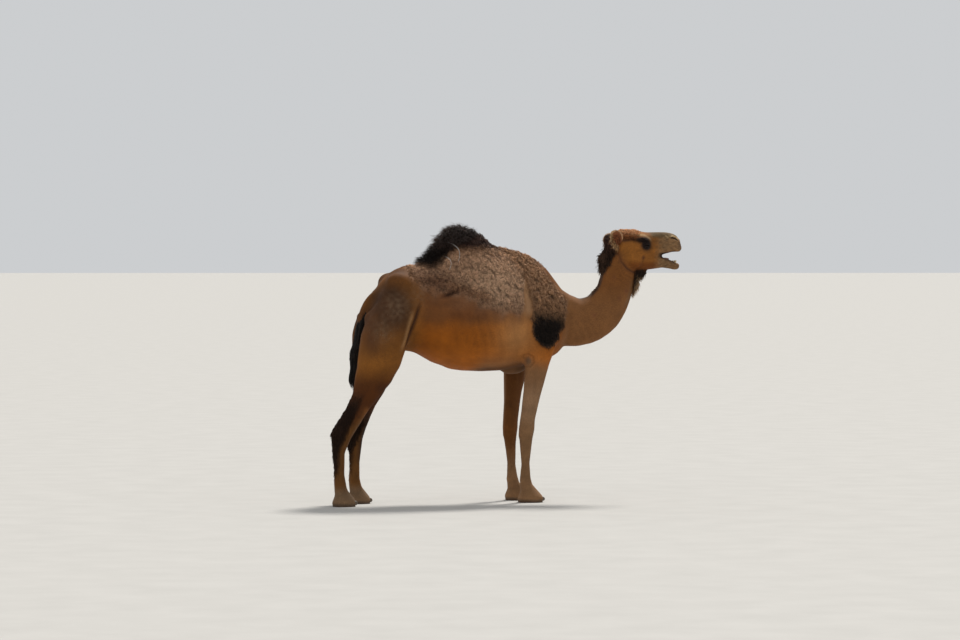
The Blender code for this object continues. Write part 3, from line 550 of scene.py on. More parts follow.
# ---------------------------------------------------------------- markings
# The coat is tan on the neck, orange under the belly, grey-brown in the wool, and nearly black on the rump,
# the crest and the beard; the belly's orange holds painted warm light from the ground, and the rump's dark
# holds painted shade. Skin and hair take their colours from one function of place, so that they agree.
NECK_TAN = (0.182, 0.076, 0.024)
NECK_TOP = (0.160, 0.057, 0.012)
# Partly painted light: the face's orange, most on the cheek, holds warm light thrown up from the ground
# besides the coat's own tan.
FACE_TAN = (0.232, 0.084, 0.013)
# Partly painted light: the belly's orange holds warm light thrown up from the ground as well as the coat's
# own colour.
BELLY_ORANGE_AND_BOUNCE_LIGHT = (0.238, 0.066, 0.003)
BELLY_FRONT = (0.340, 0.148, 0.045)
THIGH_BROWN = (0.205, 0.074, 0.010)
# Partly painted shade: the haunch's dark brown also stands for the shade it lies in.
RUMP_BROWN_AND_SHADE = (0.046, 0.016, 0.004)
LEG_BEIGE = (0.235, 0.132, 0.068)
HIND_CANNON = (0.122, 0.048, 0.009)
MUZZLE_GREY = (0.215, 0.116, 0.050)
FLANK_BROWN = (0.135, 0.046, 0.010)
WOOL_BROWN = (0.430, 0.260, 0.160)
# Partly painted light: the paler wool on the upper side of the hump also stands for sunlight falling on it.
WOOL_PALE_AND_SUNLIT = (0.640, 0.425, 0.275)
SHOULDER_BROWN = (0.330, 0.185, 0.100)
HAIR_BLACK = (0.012, 0.008, 0.006)
HOCK_BLACK = (0.022, 0.010, 0.005)
RUSTY = (0.720, 0.330, 0.140)
CALLUS = (0.135, 0.070, 0.034)
PALE_RIM = (0.520, 0.370, 0.200)
MOUTH_PINK = (0.300, 0.120, 0.085)
# Painted shade inside the nostrils' slits and deep in the mouth.
RECESS_SHADE = (0.030, 0.014, 0.009)
EAR_BACK = (0.060, 0.026, 0.016)
EAR_LINING = (0.210, 0.072, 0.028)
EAR_DOWN = (0.240, 0.160, 0.074)
# Partly painted rim light: the ears' pale rims are their pale edge hair and the glow of light from behind
# through it.
EAR_RIM_AND_GLOW = (0.660, 0.430, 0.245)
SPECKLE = (0.340, 0.265, 0.190)  # the pale hairs among the brown ones
HOLLOW_SHADE = 110  # how fast the colour darkens as a hollow in the skin deepens, per metre
UNDER_WOOL_SHADE = 0.32  # how much darker the skin is under wool


def tinted(colours, colour, amount):
    """Each colour drawn towards another by an amount from 0 to 1."""
    return colours + (np.array(colour) - colours) * np.clip(amount, 0, 1)[:, None]


def pale_zones(p):
    """Where pale hairs are mixed in: on the haunch, behind the thigh and over the flank."""
    haunch = near(p, (-0.890, 0.22, 1.400), (0.100, 0.2, 0.105))
    behind_thigh = near(p, (-1.010, 0.20, 1.230), (0.070, 0.2, 0.085))
    over_flank = near(p, (-0.715, 0.24, 1.500), (0.055, 0.2, 0.080))
    return np.clip(haunch + 0.9 * behind_thigh + 0.8 * over_flank, 0, 1)


def markings(p):
    """The colour of the coat at these places, from the ground colour out to the dark points."""
    x, y, z = p[:, 0], np.abs(p[:, 1]), p[:, 2]
    colour = np.tile(np.array(NECK_TAN), (len(p), 1))

    def lay(tint, amount):
        colour[:] = tinted(colour, tint, amount)

    # neck
    lay(NECK_TOP, ramp(z, 1.36, 1.62) * ramp(x, 0.55, 0.66))
    for centre in ((0.800, 0.095, 1.600), (0.895, 0.070, 1.500), (0.845, 0.080, 1.455),
                   (0.640, 0.100, 1.330)):
        lay((0.130, 0.045, 0.020), 0.6 * near(p, centre, (0.016, 0.040, 0.016)))
    # flank and belly
    trunk = ramp(x, 0.42, 0.28)
    lay(FLANK_BROWN, trunk)
    # The belly's orange, with its painted warm light from the ground.
    lay(BELLY_ORANGE_AND_BOUNCE_LIGHT, trunk * ramp(z + 0.03 * mottle(p, 0.30, 6.0), 1.34, 1.20) * ramp(x, -0.86, -0.72))
    # Painted light: the lowest part of the belly is drawn lighter, as warm light thrown up from the ground.
    lay((0.320, 0.092, 0.008), trunk * ramp(z, 1.14, 1.02) * ramp(x, -0.80, -0.60))
    lay(BELLY_FRONT, trunk * near(p, (-0.010, 0.220, 1.200), (0.170, 0.30, 0.200)))
    lay((0.280, 0.150, 0.072), trunk * near_line(
        p, ((0.060, 1.640), (0.090, 1.480), (0.080, 1.300)), 0.060))
    lay((0.158, 0.060, 0.020), 0.8 * trunk * near(p, (-0.440, 0.270, 1.400), (0.130, 0.2, 0.060)))
    # Painted shadow: a soft dark line across the lower flank.
    lay((0.105, 0.030, 0.006), 0.4 * trunk * near_line(
        p, ((-0.560, 1.350), (-0.430, 1.330), (-0.300, 1.345), (-0.200, 1.330)), 0.035))
    lay((0.146, 0.062, 0.026), 0.75 * trunk * ramp(z, wool_edge(p) - 0.16, wool_edge(p) - 0.04)
        * ramp(x, -0.70, -0.60) * ramp(x, 0.06, 0.00))
    # head
    head = ramp(x - 0.6 * (1.80 - z), 0.80, 0.88) * ramp(z, 1.60, 1.66)
    # The head's tan, with painted warm light from the ground in its orange.
    lay(FACE_TAN, head)
    lay((0.132, 0.038, 0.004), head * ramp(z, 1.735, 1.690))
    lay((0.070, 0.022, 0.010), 0.85 * near(p, (1.030, 0.080, 1.742), (0.013, 0.040, 0.015)))
    lay(MUZZLE_GREY, head * ramp(x, 1.11, 1.20))
    lay((0.150, 0.080, 0.034), head * ramp(x, 1.15, 1.22) * ramp(z, 1.760, 1.735))
    lay((0.115, 0.070, 0.028), head * ramp(z, 1.875, 1.905) * ramp(x, 1.06, 1.12))
    lay((0.080, 0.046, 0.022), 0.45 * head * ramp(x, 1.08, 1.18) * ramp(mottle(p, 0.050, 3.0), 0.05, 0.75))
    lay((0.330, 0.215, 0.110), 0.30 * head * ramp(x, 1.10, 1.20) * ramp(mottle(p, 0.036, 8.0), 0.20, 0.85))
    lay((0.070, 0.042, 0.026), 0.8 * near(p, (1.335, 0.025, 1.828), (0.030, 0.040, 0.034)))
    lay((0.050, 0.030, 0.018), 0.65 * near_line(
        p, ((1.195, 1.748), (1.250, 1.724), (1.310, 1.703)), 0.011, 0.15))
    lay((0.075, 0.028, 0.018), 0.75 * near_line(
        p, ((1.175, 1.760), (1.230, 1.781), (1.300, 1.793)), 0.007, 0.15))
    # rump and thighs
    rear = ramp(x, -0.66, -0.80)
    lay(THIGH_BROWN, rear)
    # Partly painted shade: the haunch is drawn darker than its own brown, as the shade it lies in.
    lay(RUMP_BROWN_AND_SHADE, rear * near(p, (-0.94, 0.20, 1.40), (0.20, 0.30, 0.23)) * 1.25)
    lay((0.070, 0.026, 0.009), 0.85 * rear * near_line(
        p, ((-1.060, 1.450), (-1.085, 1.300), (-1.085, 1.140), (-1.060, 1.000)), 0.075, 0.35))
    dusty = pale_zones(p) * (0.6 + 0.4 * mottle(p, 0.060, 5.0))
    lay((0.165, 0.104, 0.060), 0.55 * dusty)
    lay((0.086, 0.033, 0.010), near(p, (-0.85, 0.10, 1.65), (0.12, 0.20, 0.06)) * 0.9)
    lay((0.072, 0.020, 0.002), rear * ramp(z, 1.02, 0.82))
    lay((0.165, 0.060, 0.014), rear * near_line(p, ((-1.090, 0.700), (-1.150, 0.560)), 0.030))
    # Painted highlight: a pale line down the lit front edge of the thigh. Painted shade: a dark line in the
    # crease behind it.
    lay((0.270, 0.140, 0.055), 0.8 * far_out(p) * near_line(
        p, ((-0.775, 1.380), (-0.805, 1.280), (-0.845, 1.150), (-0.880, 1.060)), 0.013))
    lay((0.050, 0.018, 0.008), 0.85 * far_out(p) * near_line(
        p, ((-0.720, 1.440), (-0.752, 1.340), (-0.790, 1.210), (-0.840, 1.070)), 0.011))
    # legs
    fore_leg = ramp(z, 1.10, 0.92) * ramp(x, -0.35, -0.20) * ramp(x, 0.62, 0.50)
    lay((0.190, 0.092, 0.038), fore_leg * ramp(z + 0.4 * x, 1.16, 1.00))
    lay(LEG_BEIGE, fore_leg * ramp(z, 0.92, 0.74))
    lay((0.190, 0.100, 0.045), fore_leg * ramp(z, 0.64, 0.52))
    # Painted shade: the inner sides of the forelegs are drawn darker, as the shade under the body on the
    # far leg.
    lay((0.112, 0.037, 0.005), 0.95 * fore_leg * ramp(y, 0.160, 0.120) * ramp(z, 0.20, 0.45))
    hind_leg = ramp(z, 0.66, 0.52) * rear
    lay(HIND_CANNON, hind_leg)
    shin = line_value(z, ((0.10, -1.255), (0.37, -1.262), (0.52, -1.205), (0.70, -1.100)))
    lay((0.165, 0.082, 0.032), 0.75 * hind_leg * (p[:, 1] < 0) * ramp(x, shin - 0.012, shin + 0.012))
    lay((0.160, 0.095, 0.050), hind_leg * ramp(z, 0.16, 0.08))
    lay(HOCK_BLACK, 0.97 * hock_hair(p))
    # Partly painted shade: the black band down the front of the far hind leg is black hair and the shade on
    # that leg's inner side.
    lay(HOCK_BLACK, 0.92 * near_line(
        p, ((-0.985, 0.72), (-1.020, 0.60), (-1.050, 0.42), (-1.055, 0.24)), 0.032) * (p[:, 1] > 0))
    # wool
    lay(WOOL_BROWN, back_wool(p))
    # Paler wool on the hump's side, with painted sunlight in it.
    lay(WOOL_PALE_AND_SUNLIT, back_wool(p) * near(p, (-0.15, 0.28, 1.56), (0.26, 0.4, 0.16)))
    lay((0.130, 0.054, 0.026), back_wool(p) * near(p, (-0.60, 0.28, 1.56), (0.17, 0.3, 0.09)))
    lay((0.205, 0.088, 0.036), 0.80 * back_wool(p) * near_line(
        p, ((-0.560, 1.520), (-0.400, 1.500), (-0.260, 1.460), (-0.160, 1.420)), 0.055))
    lay((0.300, 0.170, 0.095), back_wool(p) * ramp(z, 1.74, 1.82))
    lay(SHOULDER_BROWN, shoulder_strip(p))
    lay((0.230, 0.125, 0.066), shoulder_strip(p) * ramp(z, 1.50, 1.38) * 0.8)
    lay(HAIR_BLACK, black_patch(p) * ramp(z + 0.014 * mottle(p, 0.06, 4.0), 1.42, 1.31))
    # Painted shadow: a dark stroke under the lower edge of the wool over the flank, where that edge casts
    # shade.
    lay((0.050, 0.015, 0.006), 0.80 * far_out(p) * near_line(
        p, ((-0.610, 1.452), (-0.520, 1.480), (-0.440, 1.512), (-0.360, 1.536)), 0.018, 0.45))
    # dark hair, and the folds of the throat
    lay(HAIR_BLACK, crest_of_hump(p))
    lay((0.034, 0.018, 0.011), 1.6 * nape_hair(p))
    lay((0.055, 0.030, 0.018), ramp(y, 0.045, 0.015) * ramp(x, 0.46, 0.52)
        * ramp(x, 0.80, 0.74) * ramp(z + 0.5 * x, 1.62, 1.68) * 0.8)
    lay((0.026, 0.014, 0.009), 2.4 * beard_hair(p))
    lay((0.120, 0.042, 0.013), 0.65 * far_out(p) * near_line(
        p, ((0.808, 1.835), (0.827, 1.790), (0.858, 1.708), (0.906, 1.660), (0.957, 1.636),
            (1.010, 1.640)), 0.017))
    lay((0.055, 0.020, 0.008), 0.55 * far_out(p) * near_line(
        p, ((0.850, 1.720), (0.900, 1.664), (0.957, 1.636), (1.020, 1.638)), 0.008))
    lay((0.150, 0.080, 0.034), 0.7 * far_out(p) * near_line(
        p, ((0.942, 1.600), (0.950, 1.540), (0.930, 1.450), (0.890, 1.380)), 0.016))
    lay((0.040, 0.018, 0.012), ramp(x, 0.815, 0.790) * ramp(z, 1.78, 1.84))
    # forelock, brow and round the eye
    lay(RUSTY, 1.5 * forelock(p))
    lay((0.270, 0.095, 0.030), 1.2 * forelock(p) * ramp(z, 1.928, 1.896))
    lay((0.048, 0.018, 0.010), 0.9 * far_out(p) * near_line(
        p, ((0.840, 1.872), (0.880, 1.868), (0.930, 1.878), (0.985, 1.876), (1.040, 1.866)), 0.015, 0.15))
    lay((0.060, 0.024, 0.014), near(p, (0.815, 0.080, 1.880), (0.030, 0.050, 0.040)) * 0.9)
    lay((0.026, 0.012, 0.008), 1.6 * near(p, (1.022, 0.080, 1.872), (0.050, 0.040, 0.020)))
    # Painted highlight: a pale rim along the brow ridge, as light catching it.
    lay((0.380, 0.245, 0.120), 0.85 * near_line(
        p, ((0.968, 1.900), (1.000, 1.909), (1.040, 1.906), (1.074, 1.888), (1.092, 1.852)), 0.0065)
        * ramp(y, 0.030, 0.055))
    lay((0.014, 0.007, 0.005), 2.0 * near(p, (1.048, 0.085, 1.835), (0.039, 0.045, 0.037)))
    # nostrils and mouth
    # Painted shade in the nostrils' slits.
    lay(RECESS_SHADE, slit_nostril(p) * 1.3)
    lay(PALE_RIM, 1.1 * near_line(
        p, ((1.240, 1.895), (1.268, 1.902), (1.296, 1.894), (1.322, 1.874)), 0.0040)
        * ramp(y, 0.012, 0.026))
    lay(PALE_RIM, 0.6 * near_line(p, ((1.205, 1.915), (1.234, 1.884)), 0.0045) * ramp(y, 0.010, 0.020))
    lips = line_value(x, ((1.12, 1.752), (1.17, 1.765), (1.25, 1.757), (1.30, 1.750), (1.36, 1.750)))
    inside = ramp(y, 0.044, 0.032) * ramp(np.abs(z - lips), 0.032, 0.016) * ramp(x, 1.155, 1.185)
    lay(MOUTH_PINK, inside * ramp(x, 1.18, 1.30))
    # Painted shade deeper in the mouth, behind the pink lining.
    lay(RECESS_SHADE, inside * ramp(x, 1.29, 1.20))
    # calluses and soles
    chest_pad = near(p, (0.055, 0.000, 0.940), (0.110, 0.070, 0.050))
    elbow = near(p, (0.092, 0.200, 1.008), (0.022, 0.04, 0.030))
    knee = near(p, (0.155, 0.140, 0.515), (0.024, 0.045, 0.055))
    lay(CALLUS, (chest_pad + elbow + knee * 0.6) * 1.2)
    lay((0.075, 0.050, 0.034), ramp(z, 0.030, 0.012) * 0.8)
    return np.maximum(colour, 0)


def speckled(p):
    """How many of the hairs are pale ones, among the brown ones on the haunch and the thigh."""
    return np.clip(0.36 * pale_zones(p) * (1 + 0.6 * mottle(p, 0.07, 5.0)) - 0.03, 0, 0.5)


def paint(mesh, colours):
    layer = mesh.color_attributes.new("coat", "FLOAT_COLOR", "POINT")
    layer.data.foreach_set("color", np.c_[colours, np.ones(len(colours))].astype(np.float32).ravel())


class Signal:
    """A shader's socket that Python's operators work on. add() makes any other kind of node."""

    tree = None

    def __init__(self, socket):
        self.socket = socket

    @classmethod
    def add(cls, kind, settings=None, inputs=None, output=0):
        """A new node, given its settings and then its sockets' values or links; returns one output."""
        node = cls.tree.nodes.new("ShaderNode" + kind)
        for key, value in (settings or {}).items():
            setattr(node, key, value)
        for key, value in (inputs or {}).items():
            if isinstance(value, Signal):
                cls.tree.links.new(value.socket, node.inputs[key])
            else:
                node.inputs[key].default_value = value
        return cls(node.outputs[output])

    def worked(self, operation, first, second):
        return self.add("Math", {"operation": operation}, {0: first, 1: second})

    def __add__(self, other):
        return self.worked("ADD", self, other)

    def __radd__(self, other):
        return self.worked("ADD", other, self)

    def __sub__(self, other):
        return self.worked("SUBTRACT", self, other)

    def __rsub__(self, other):
        return self.worked("SUBTRACT", other, self)

    def __mul__(self, other):
        return self.worked("MULTIPLY", self, other)

    def __rmul__(self, other):
        return self.worked("MULTIPLY", other, self)


def finish(name, roughness, specular=0.25, sheen=0.0, clear_coat=0.0):
    """A new material, whose node tree the next signals go into; returns it and its shader's inputs."""
    material = bpy.data.materials.new(name)
    material.use_nodes = True
    Signal.tree = material.node_tree
    inputs = material.node_tree.nodes["Principled BSDF"].inputs
    inputs["Roughness"].default_value = roughness
    inputs["Specular IOR Level"].default_value = specular
    inputs["Sheen Weight"].default_value = sheen
    inputs["Coat Weight"].default_value = clear_coat
    inputs["Coat Roughness"].default_value = 0.04
    return material, inputs


def feed(socket, signal):
    Signal.tree.links.new(signal.socket, socket)


def blended(amount, first, second, way="MIX"):
    """Two colours mixed; each is a signal or a plain colour."""
    colours = [colour if isinstance(colour, Signal) else (*colour, 1) for colour in (first, second)]
    sockets = {0: amount, 6: colours[0], 7: colours[1]}
    return Signal.add("Mix", {"data_type": "RGBA", "blend_type": way}, sockets, 2)


def shaded(colour, shade):
    """A colour made lighter or darker by a signal round 1."""
    grey = Signal.add("CombineColor", {}, {0: shade, 1: shade, 2: shade})
    return blended(1.0, colour, grey, "MULTIPLY")


def noise(scale, detail=3.0, stretch=(1, 1, 1)):
    """Noise in the animal's own space, which is drawn out along an axis where its stretch is small."""
    place = Signal.add("TexCoord", output=3)
    place = Signal.add("Mapping", {}, {0: place, 3: stretch})
    return Signal.add("TexNoise", {}, {"Vector": place, "Scale": scale, "Detail": detail})


def between(signal, low, high):
    """A noise signal spread over the range from low to high."""
    return Signal.add("MapRange", {}, {0: signal, 1: 0.30, 2: 0.70, 3: low, 4: high})


skin_finish, inputs = finish("short_flat_coat", 0.75, specular=0.18)
height = Signal.add("SeparateXYZ", {}, {0: Signal.add("TexCoord", output=3)}, 2)
in_legs = Signal.add("MapRange", {"interpolation_type": "SMOOTHSTEP"},
                     {0: height, 1: 1.05, 2: 0.90, 3: 0, 4: 1})
hair_back = noise(520, 4, (0.13, 1, 0.55))
hair_down = noise(520, 4, (1, 1, 0.13))
hair = hair_back + in_legs * (hair_down - hair_back)
coat_colour = Signal.add("VertexColor", {"layer_name": "coat"})
coat_shade = between(hair, 0.74, 1.22) * between(noise(9, 4), 0.86, 1.12)
feed(inputs["Base Color"], shaded(coat_colour, coat_shade))
feed(inputs["Normal"], Signal.add("Bump", {}, {"Strength": 0.45, "Distance": 0.0016, "Height": hair}))
mesh.materials.append(skin_finish)

points, normals = mesh_arrays(mesh)
pairs = neighbours(mesh)
evened = settled(points.astype(np.float64), np.full(len(points), 0.5), pairs, 12)
hollow = np.sum((evened - points) * normals, axis=1)
# Painted shade and light: the coat's colour is drawn darker in the skin's hollows and lighter on its
# swells.
coat_colours = markings(points) * np.clip(1 - HOLLOW_SHADE * hollow, 0.70, 1.18)[:, None]
for side in (-1, 1):
    in_ear = np.flatnonzero(points[ears_start:ears_end, 1] * side > 0) + ears_start
    rise, across, *_, facing = on_ear(points[in_ear], side)
    front = ramp(normals[in_ear] @ facing, -0.10, 0.35)
    rim = np.maximum(ramp(np.abs(across), 0.74, 0.92), ramp(rise, 0.90, 1.0)) * ramp(rise, 0.05, 0.25)
    colour = tinted(np.tile(np.array(EAR_BACK), (len(in_ear), 1)), EAR_LINING, front)
    colour = tinted(colour, EAR_DOWN, front * ramp(across * -side, -0.10, -0.50) * 0.7)
    # The rims take the pale colour with painted rim light in it.
    coat_colours[in_ear] = tinted(colour, EAR_RIM_AND_GLOW, rim)
under_wool = np.maximum(wool(points), 0.7 * crest_of_hump(points))
paint(mesh, coat_colours * (1 - UNDER_WOOL_SHADE * under_wool)[:, None])

# An unwrap of the skin's own shape, named OFBake; every lock keeps its place on it.
bpy.context.view_layer.objects.active = skin
skin.select_set(True)
bpy.ops.object.mode_set(mode="EDIT")
bpy.ops.mesh.select_all(action="SELECT")
bpy.ops.uv.smart_project(angle_limit=radians(66), island_margin=0.002)
bpy.ops.object.mode_set(mode="OBJECT")
mesh = skin.data
mesh.uv_layers[0].name = "OFBake"

# ---------------------------------------------------------------- wool
# The back, the flanks of the hump and the shoulders wear curls of wool. Every lock of the coat is a thin,
# closed, tapering tube, rooted in the skin. Roots gather into clumps, which rise in the middle and part at
# their edges, and the locks of a clump curl over one way.
mesh.calc_loop_triangles()
triangle_points = rows_of(mesh.loop_triangles, "vertices", 3)
triangle_loops = rows_of(mesh.loop_triangles, "loops", 3)
unwrap = rows_of(mesh.uv_layers["OFBake"].data, "uv", 2, np.float32)
points, normals = mesh_arrays(mesh)
corners = points[triangle_points]
areas = np.linalg.norm(np.cross(corners[:, 1] - corners[:, 0], corners[:, 2] - corners[:, 0]), axis=1) / 2
THINNER = 1.0
PATCH = 0.003  # the size of a lock's own place on the unwrap
BRIGHTEST = 0.72  # of a lock's red, green and blue, none is more than this
CELLS_A_SIDE = 8192  # more cells than any grid here has along one side
CLOSEST = 0.80  # the size of a cell that holds one root, as a share of the roots' spacing
SUNK = 0.0015  # how deep a lock's root sits in the skin
NEXT_STRANDS = 3.7  # how far on along the pattern of strands each lock starts


def one_a_cell(place, size):
    """The first of the places in each cell of a grid."""
    cells = np.floor(place / size).astype(np.int64)
    codes = (cells[:, 0] * CELLS_A_SIDE + cells[:, 1]) * CELLS_A_SIDE + cells[:, 2]
    return np.unique(codes, return_index=True)[1]


def roots(growth, spacing, seed):
    """Places about this far apart where this coat grows, and what a lock needs to know there."""
    draw = np.random.default_rng(seed)
    shares_of_area = areas * growth[triangle_points].mean(1)
    count = int(shares_of_area.sum() / spacing ** 2 * 3 / THINNER)
    chances = np.cumsum(shares_of_area) / shares_of_area.sum()
    chosen = np.minimum(np.searchsorted(chances, draw.random(count)), len(areas) - 1)
    a, b = draw.random((2, count, 1))
    over = a + b > 1
    a, b = np.where(over, 1 - a, a), np.where(over, 1 - b, b)
    shares = np.concatenate([1 - a - b, a, b], axis=1)[:, :, None]
    place = (corners[chosen] * shares).sum(1)
    keep = one_a_cell(place, spacing * CLOSEST)
    shares, chosen = shares[keep], chosen[keep]
    ends = triangle_points[chosen]
    return {"place": place[keep], "outward": unit((normals[ends] * shares).sum(1)),
            "on_unwrap": (unwrap[triangle_loops[chosen]] * shares).sum(1),
            "colour": (coat_colours[ends] * shares).sum(1),
            "growth": (growth[ends] * shares[:, :, 0]).sum(1)}


# The lie of the coat: at these places the hair points this way, and in between it turns gradually.
LIE = (
    ((1.30, 0.04, 1.85), (-1.0, 0.0, -0.15)), ((1.15, 0.05, 1.88), (-1.0, 0.0, 0.10)),
    ((1.00, 0.08, 1.90), (-1.0, 0.2, 0.10)), ((1.00, 0.08, 1.75), (-0.9, 0.0, -0.35)),
    ((1.20, 0.04, 1.69), (-1.0, 0.0, -0.20)), ((0.84, 0.05, 1.88), (-0.7, 0.3, -0.55)),
    ((0.72, 0.05, 1.72), (-0.35, 0.2, -0.9)), ((0.90, 0.08, 1.60), (-0.15, 0.0, -1.0)),
    ((0.80, 0.08, 1.42), (-0.45, 0.0, -0.85)), ((0.62, 0.09, 1.28), (-0.9, 0.0, -0.45)),
    ((0.45, 0.12, 1.35), (-0.75, 0.0, -0.70)), ((0.25, 0.18, 1.50), (-0.5, 0.0, -0.90)),
    ((0.22, 0.18, 1.20), (-0.15, 0.0, -1.0)), ((0.00, 0.25, 1.60), (-0.9, 0.1, -0.50)),
    ((-0.30, 0.20, 1.80), (-0.55, 0.4, -0.8)), ((-0.30, 0.28, 1.30), (-0.95, 0.0, -0.35)),
    ((-0.30, 0.10, 0.95), (-1.0, 0.0, 0.0)), ((-0.65, 0.24, 1.50), (-0.85, 0.0, -0.55)),
    ((-0.90, 0.18, 1.55), (-0.75, 0.1, -0.70)), ((-0.90, 0.22, 1.20), (-0.45, 0.0, -0.90)),
    ((-1.05, 0.15, 0.90), (-0.40, 0.0, -0.95)), ((-1.22, 0.13, 0.55), (-0.20, 0.0, -1.0)),
    ((-1.25, 0.13, 0.20), (0.0, 0.0, -1.0)), ((0.14, 0.14, 0.80), (0.0, 0.0, -1.0)),
    ((0.10, 0.14, 0.25), (0.0, 0.0, -1.0)),
)


def lie_of_coat(place, outward):
    total = np.zeros_like(place)
    side = np.sign(place[:, 1])
    for centre, (x, y, z) in LIE:
        weight = near(place, centre, (0.22, 0.30, 0.22)) + 1e-7
        total += weight[:, None] * np.stack([np.full(len(place), x), y * side, np.full(len(place), z)], 1)
    return unit(total - outward * np.sum(total * outward, axis=1, keepdims=True))


def clumps(place, ahead, aside, size, breadth, seed):
    """Each root's clump, and how far ahead and aside of the clump's middle it is, where 1 is the edge."""
    draw = np.random.default_rng(seed)
    order = draw.permutation(len(place))
    middles = place[order[one_a_cell(place[order], size)]]
    tree = KDTree(len(middles))
    for index, middle in enumerate(middles):
        tree.insert(middle, index)
    tree.balance()
    nearest = np.zeros((len(place), 1), int)
    if len(middles) > 3:
        nearest = np.array([[found[1] for found in tree.find_n(co, 4)] for co in place])
    away = place[:, None] - middles[nearest]
    reach = size * 0.62
    on = np.einsum("nki,ni->nk", away, ahead) / reach
    over = np.einsum("nki,ni->nk", away, aside) / (reach * breadth)
    best = np.argmin(np.hypot(on, over), axis=1)
    rows = np.arange(len(place))
    return nearest[rows, best], on[rows, best], over[rows, best]


def hair_mesh(name, centres, girths, aside, colours, on_unwrap, flat=1.0, sides=3):
    """One mesh of tubes, each with a centre line that ends in its tip and a girth at each point before."""
    # The locks are far too many for an operator each, so all of them are worked out as arrays.
    count, rings = girths.shape
    along = unit(np.gradient(centres, axis=1).reshape(-1, 3)).reshape(centres.shape)[:, :-1]
    wide = np.repeat(aside[:, None], rings, axis=1)
    wide = wide - along * np.sum(wide * along, axis=2, keepdims=True)
    wide = unit(wide.reshape(-1, 3)).reshape(count, rings, 3)
    deep = np.cross(along, wide)
    around = (np.arange(sides) / sides + 0.25) * tau
    ring_points = (centres[:, :-1, None] + girths[:, :, None, None] * (
        wide[:, :, None] * np.cos(around)[:, None] + deep[:, :, None] * np.sin(around)[:, None] * flat))
    verts = np.concatenate([ring_points.reshape(count, -1, 3), centres[:, -1:]], axis=1)
    verts = verts.reshape(-1, 3).astype(np.float32)
    verts[:, 0] += stance
    ring = np.arange(sides)
    after = (ring + 1) % sides
    lower = ring + np.arange(rings - 1)[:, None] * sides
    beside = lower + after - ring
    quads = np.stack([lower, beside, beside + sides, lower + sides], 2).reshape(-1, 4)
    last = (rings - 1) * sides
    tips = np.stack([last + ring, last + after, np.full(sides, rings * sides)], 1)
    pattern = np.concatenate([quads.ravel(), tips.ravel(), ring[::-1]])
    sizes = np.tile(np.concatenate([np.full(len(quads), 4), np.full(sides, 3), [sides]]), count)
    loops = (pattern + np.arange(count)[:, None] * (rings * sides + 1)).ravel().astype(np.int32)
    mesh = bpy.data.meshes.new(name)
    mesh.vertices.add(len(verts))
    mesh.vertices.foreach_set("co", verts.ravel())
    mesh.loops.add(len(loops))
    mesh.loops.foreach_set("vertex_index", loops)
    mesh.polygons.add(len(sizes))
    mesh.polygons.foreach_set("loop_start", np.r_[0, np.cumsum(sizes)[:-1]].astype(np.int32))
    mesh.polygons.foreach_set("loop_total", sizes.astype(np.int32))
    mesh.update(calc_edges=True)
    if rings > 1:
        mesh.shade_smooth()
    by_point = np.concatenate([np.repeat(colours[:, :-1], sides, axis=1), colours[:, -1:]], axis=1)
    paint(mesh, by_point.reshape(-1, 3))
    u = np.r_[np.tile(ring / sides, rings), 0.5] - 0.5
    v = np.r_[np.repeat(np.arange(rings) / rings, sides), 1.0] - 0.5
    patch = (on_unwrap[:, None] + np.stack([u, v], 1) * PATCH).reshape(-1, 2)
    layer = mesh.uv_layers.new(name="OFBake")
    layer.data.foreach_set("uv", patch[loops].astype(np.float32).ravel())
    around_quads = np.tile(np.stack([ring, ring + 1, ring + 1, ring], 1), (rings - 1, 1))
    around_tips = np.stack([ring, ring + 1, ring + 0.5], 1)
    around_lock = np.concatenate([around_quads.ravel(), around_tips.ravel(), ring[::-1]])
    around_lock = np.tile(around_lock, count) / sides
    along = (v[pattern] + 0.5) + NEXT_STRANDS * np.arange(count)[:, None]
    mesh.uv_layers.new(name="strands").data.foreach_set(
        "uv", np.stack([around_lock, along.ravel()], 1).astype(np.float32).ravel())
    mesh.materials.append(hair_finish)
    obj = placed(name, mesh)
    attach(obj, "root")
    return obj


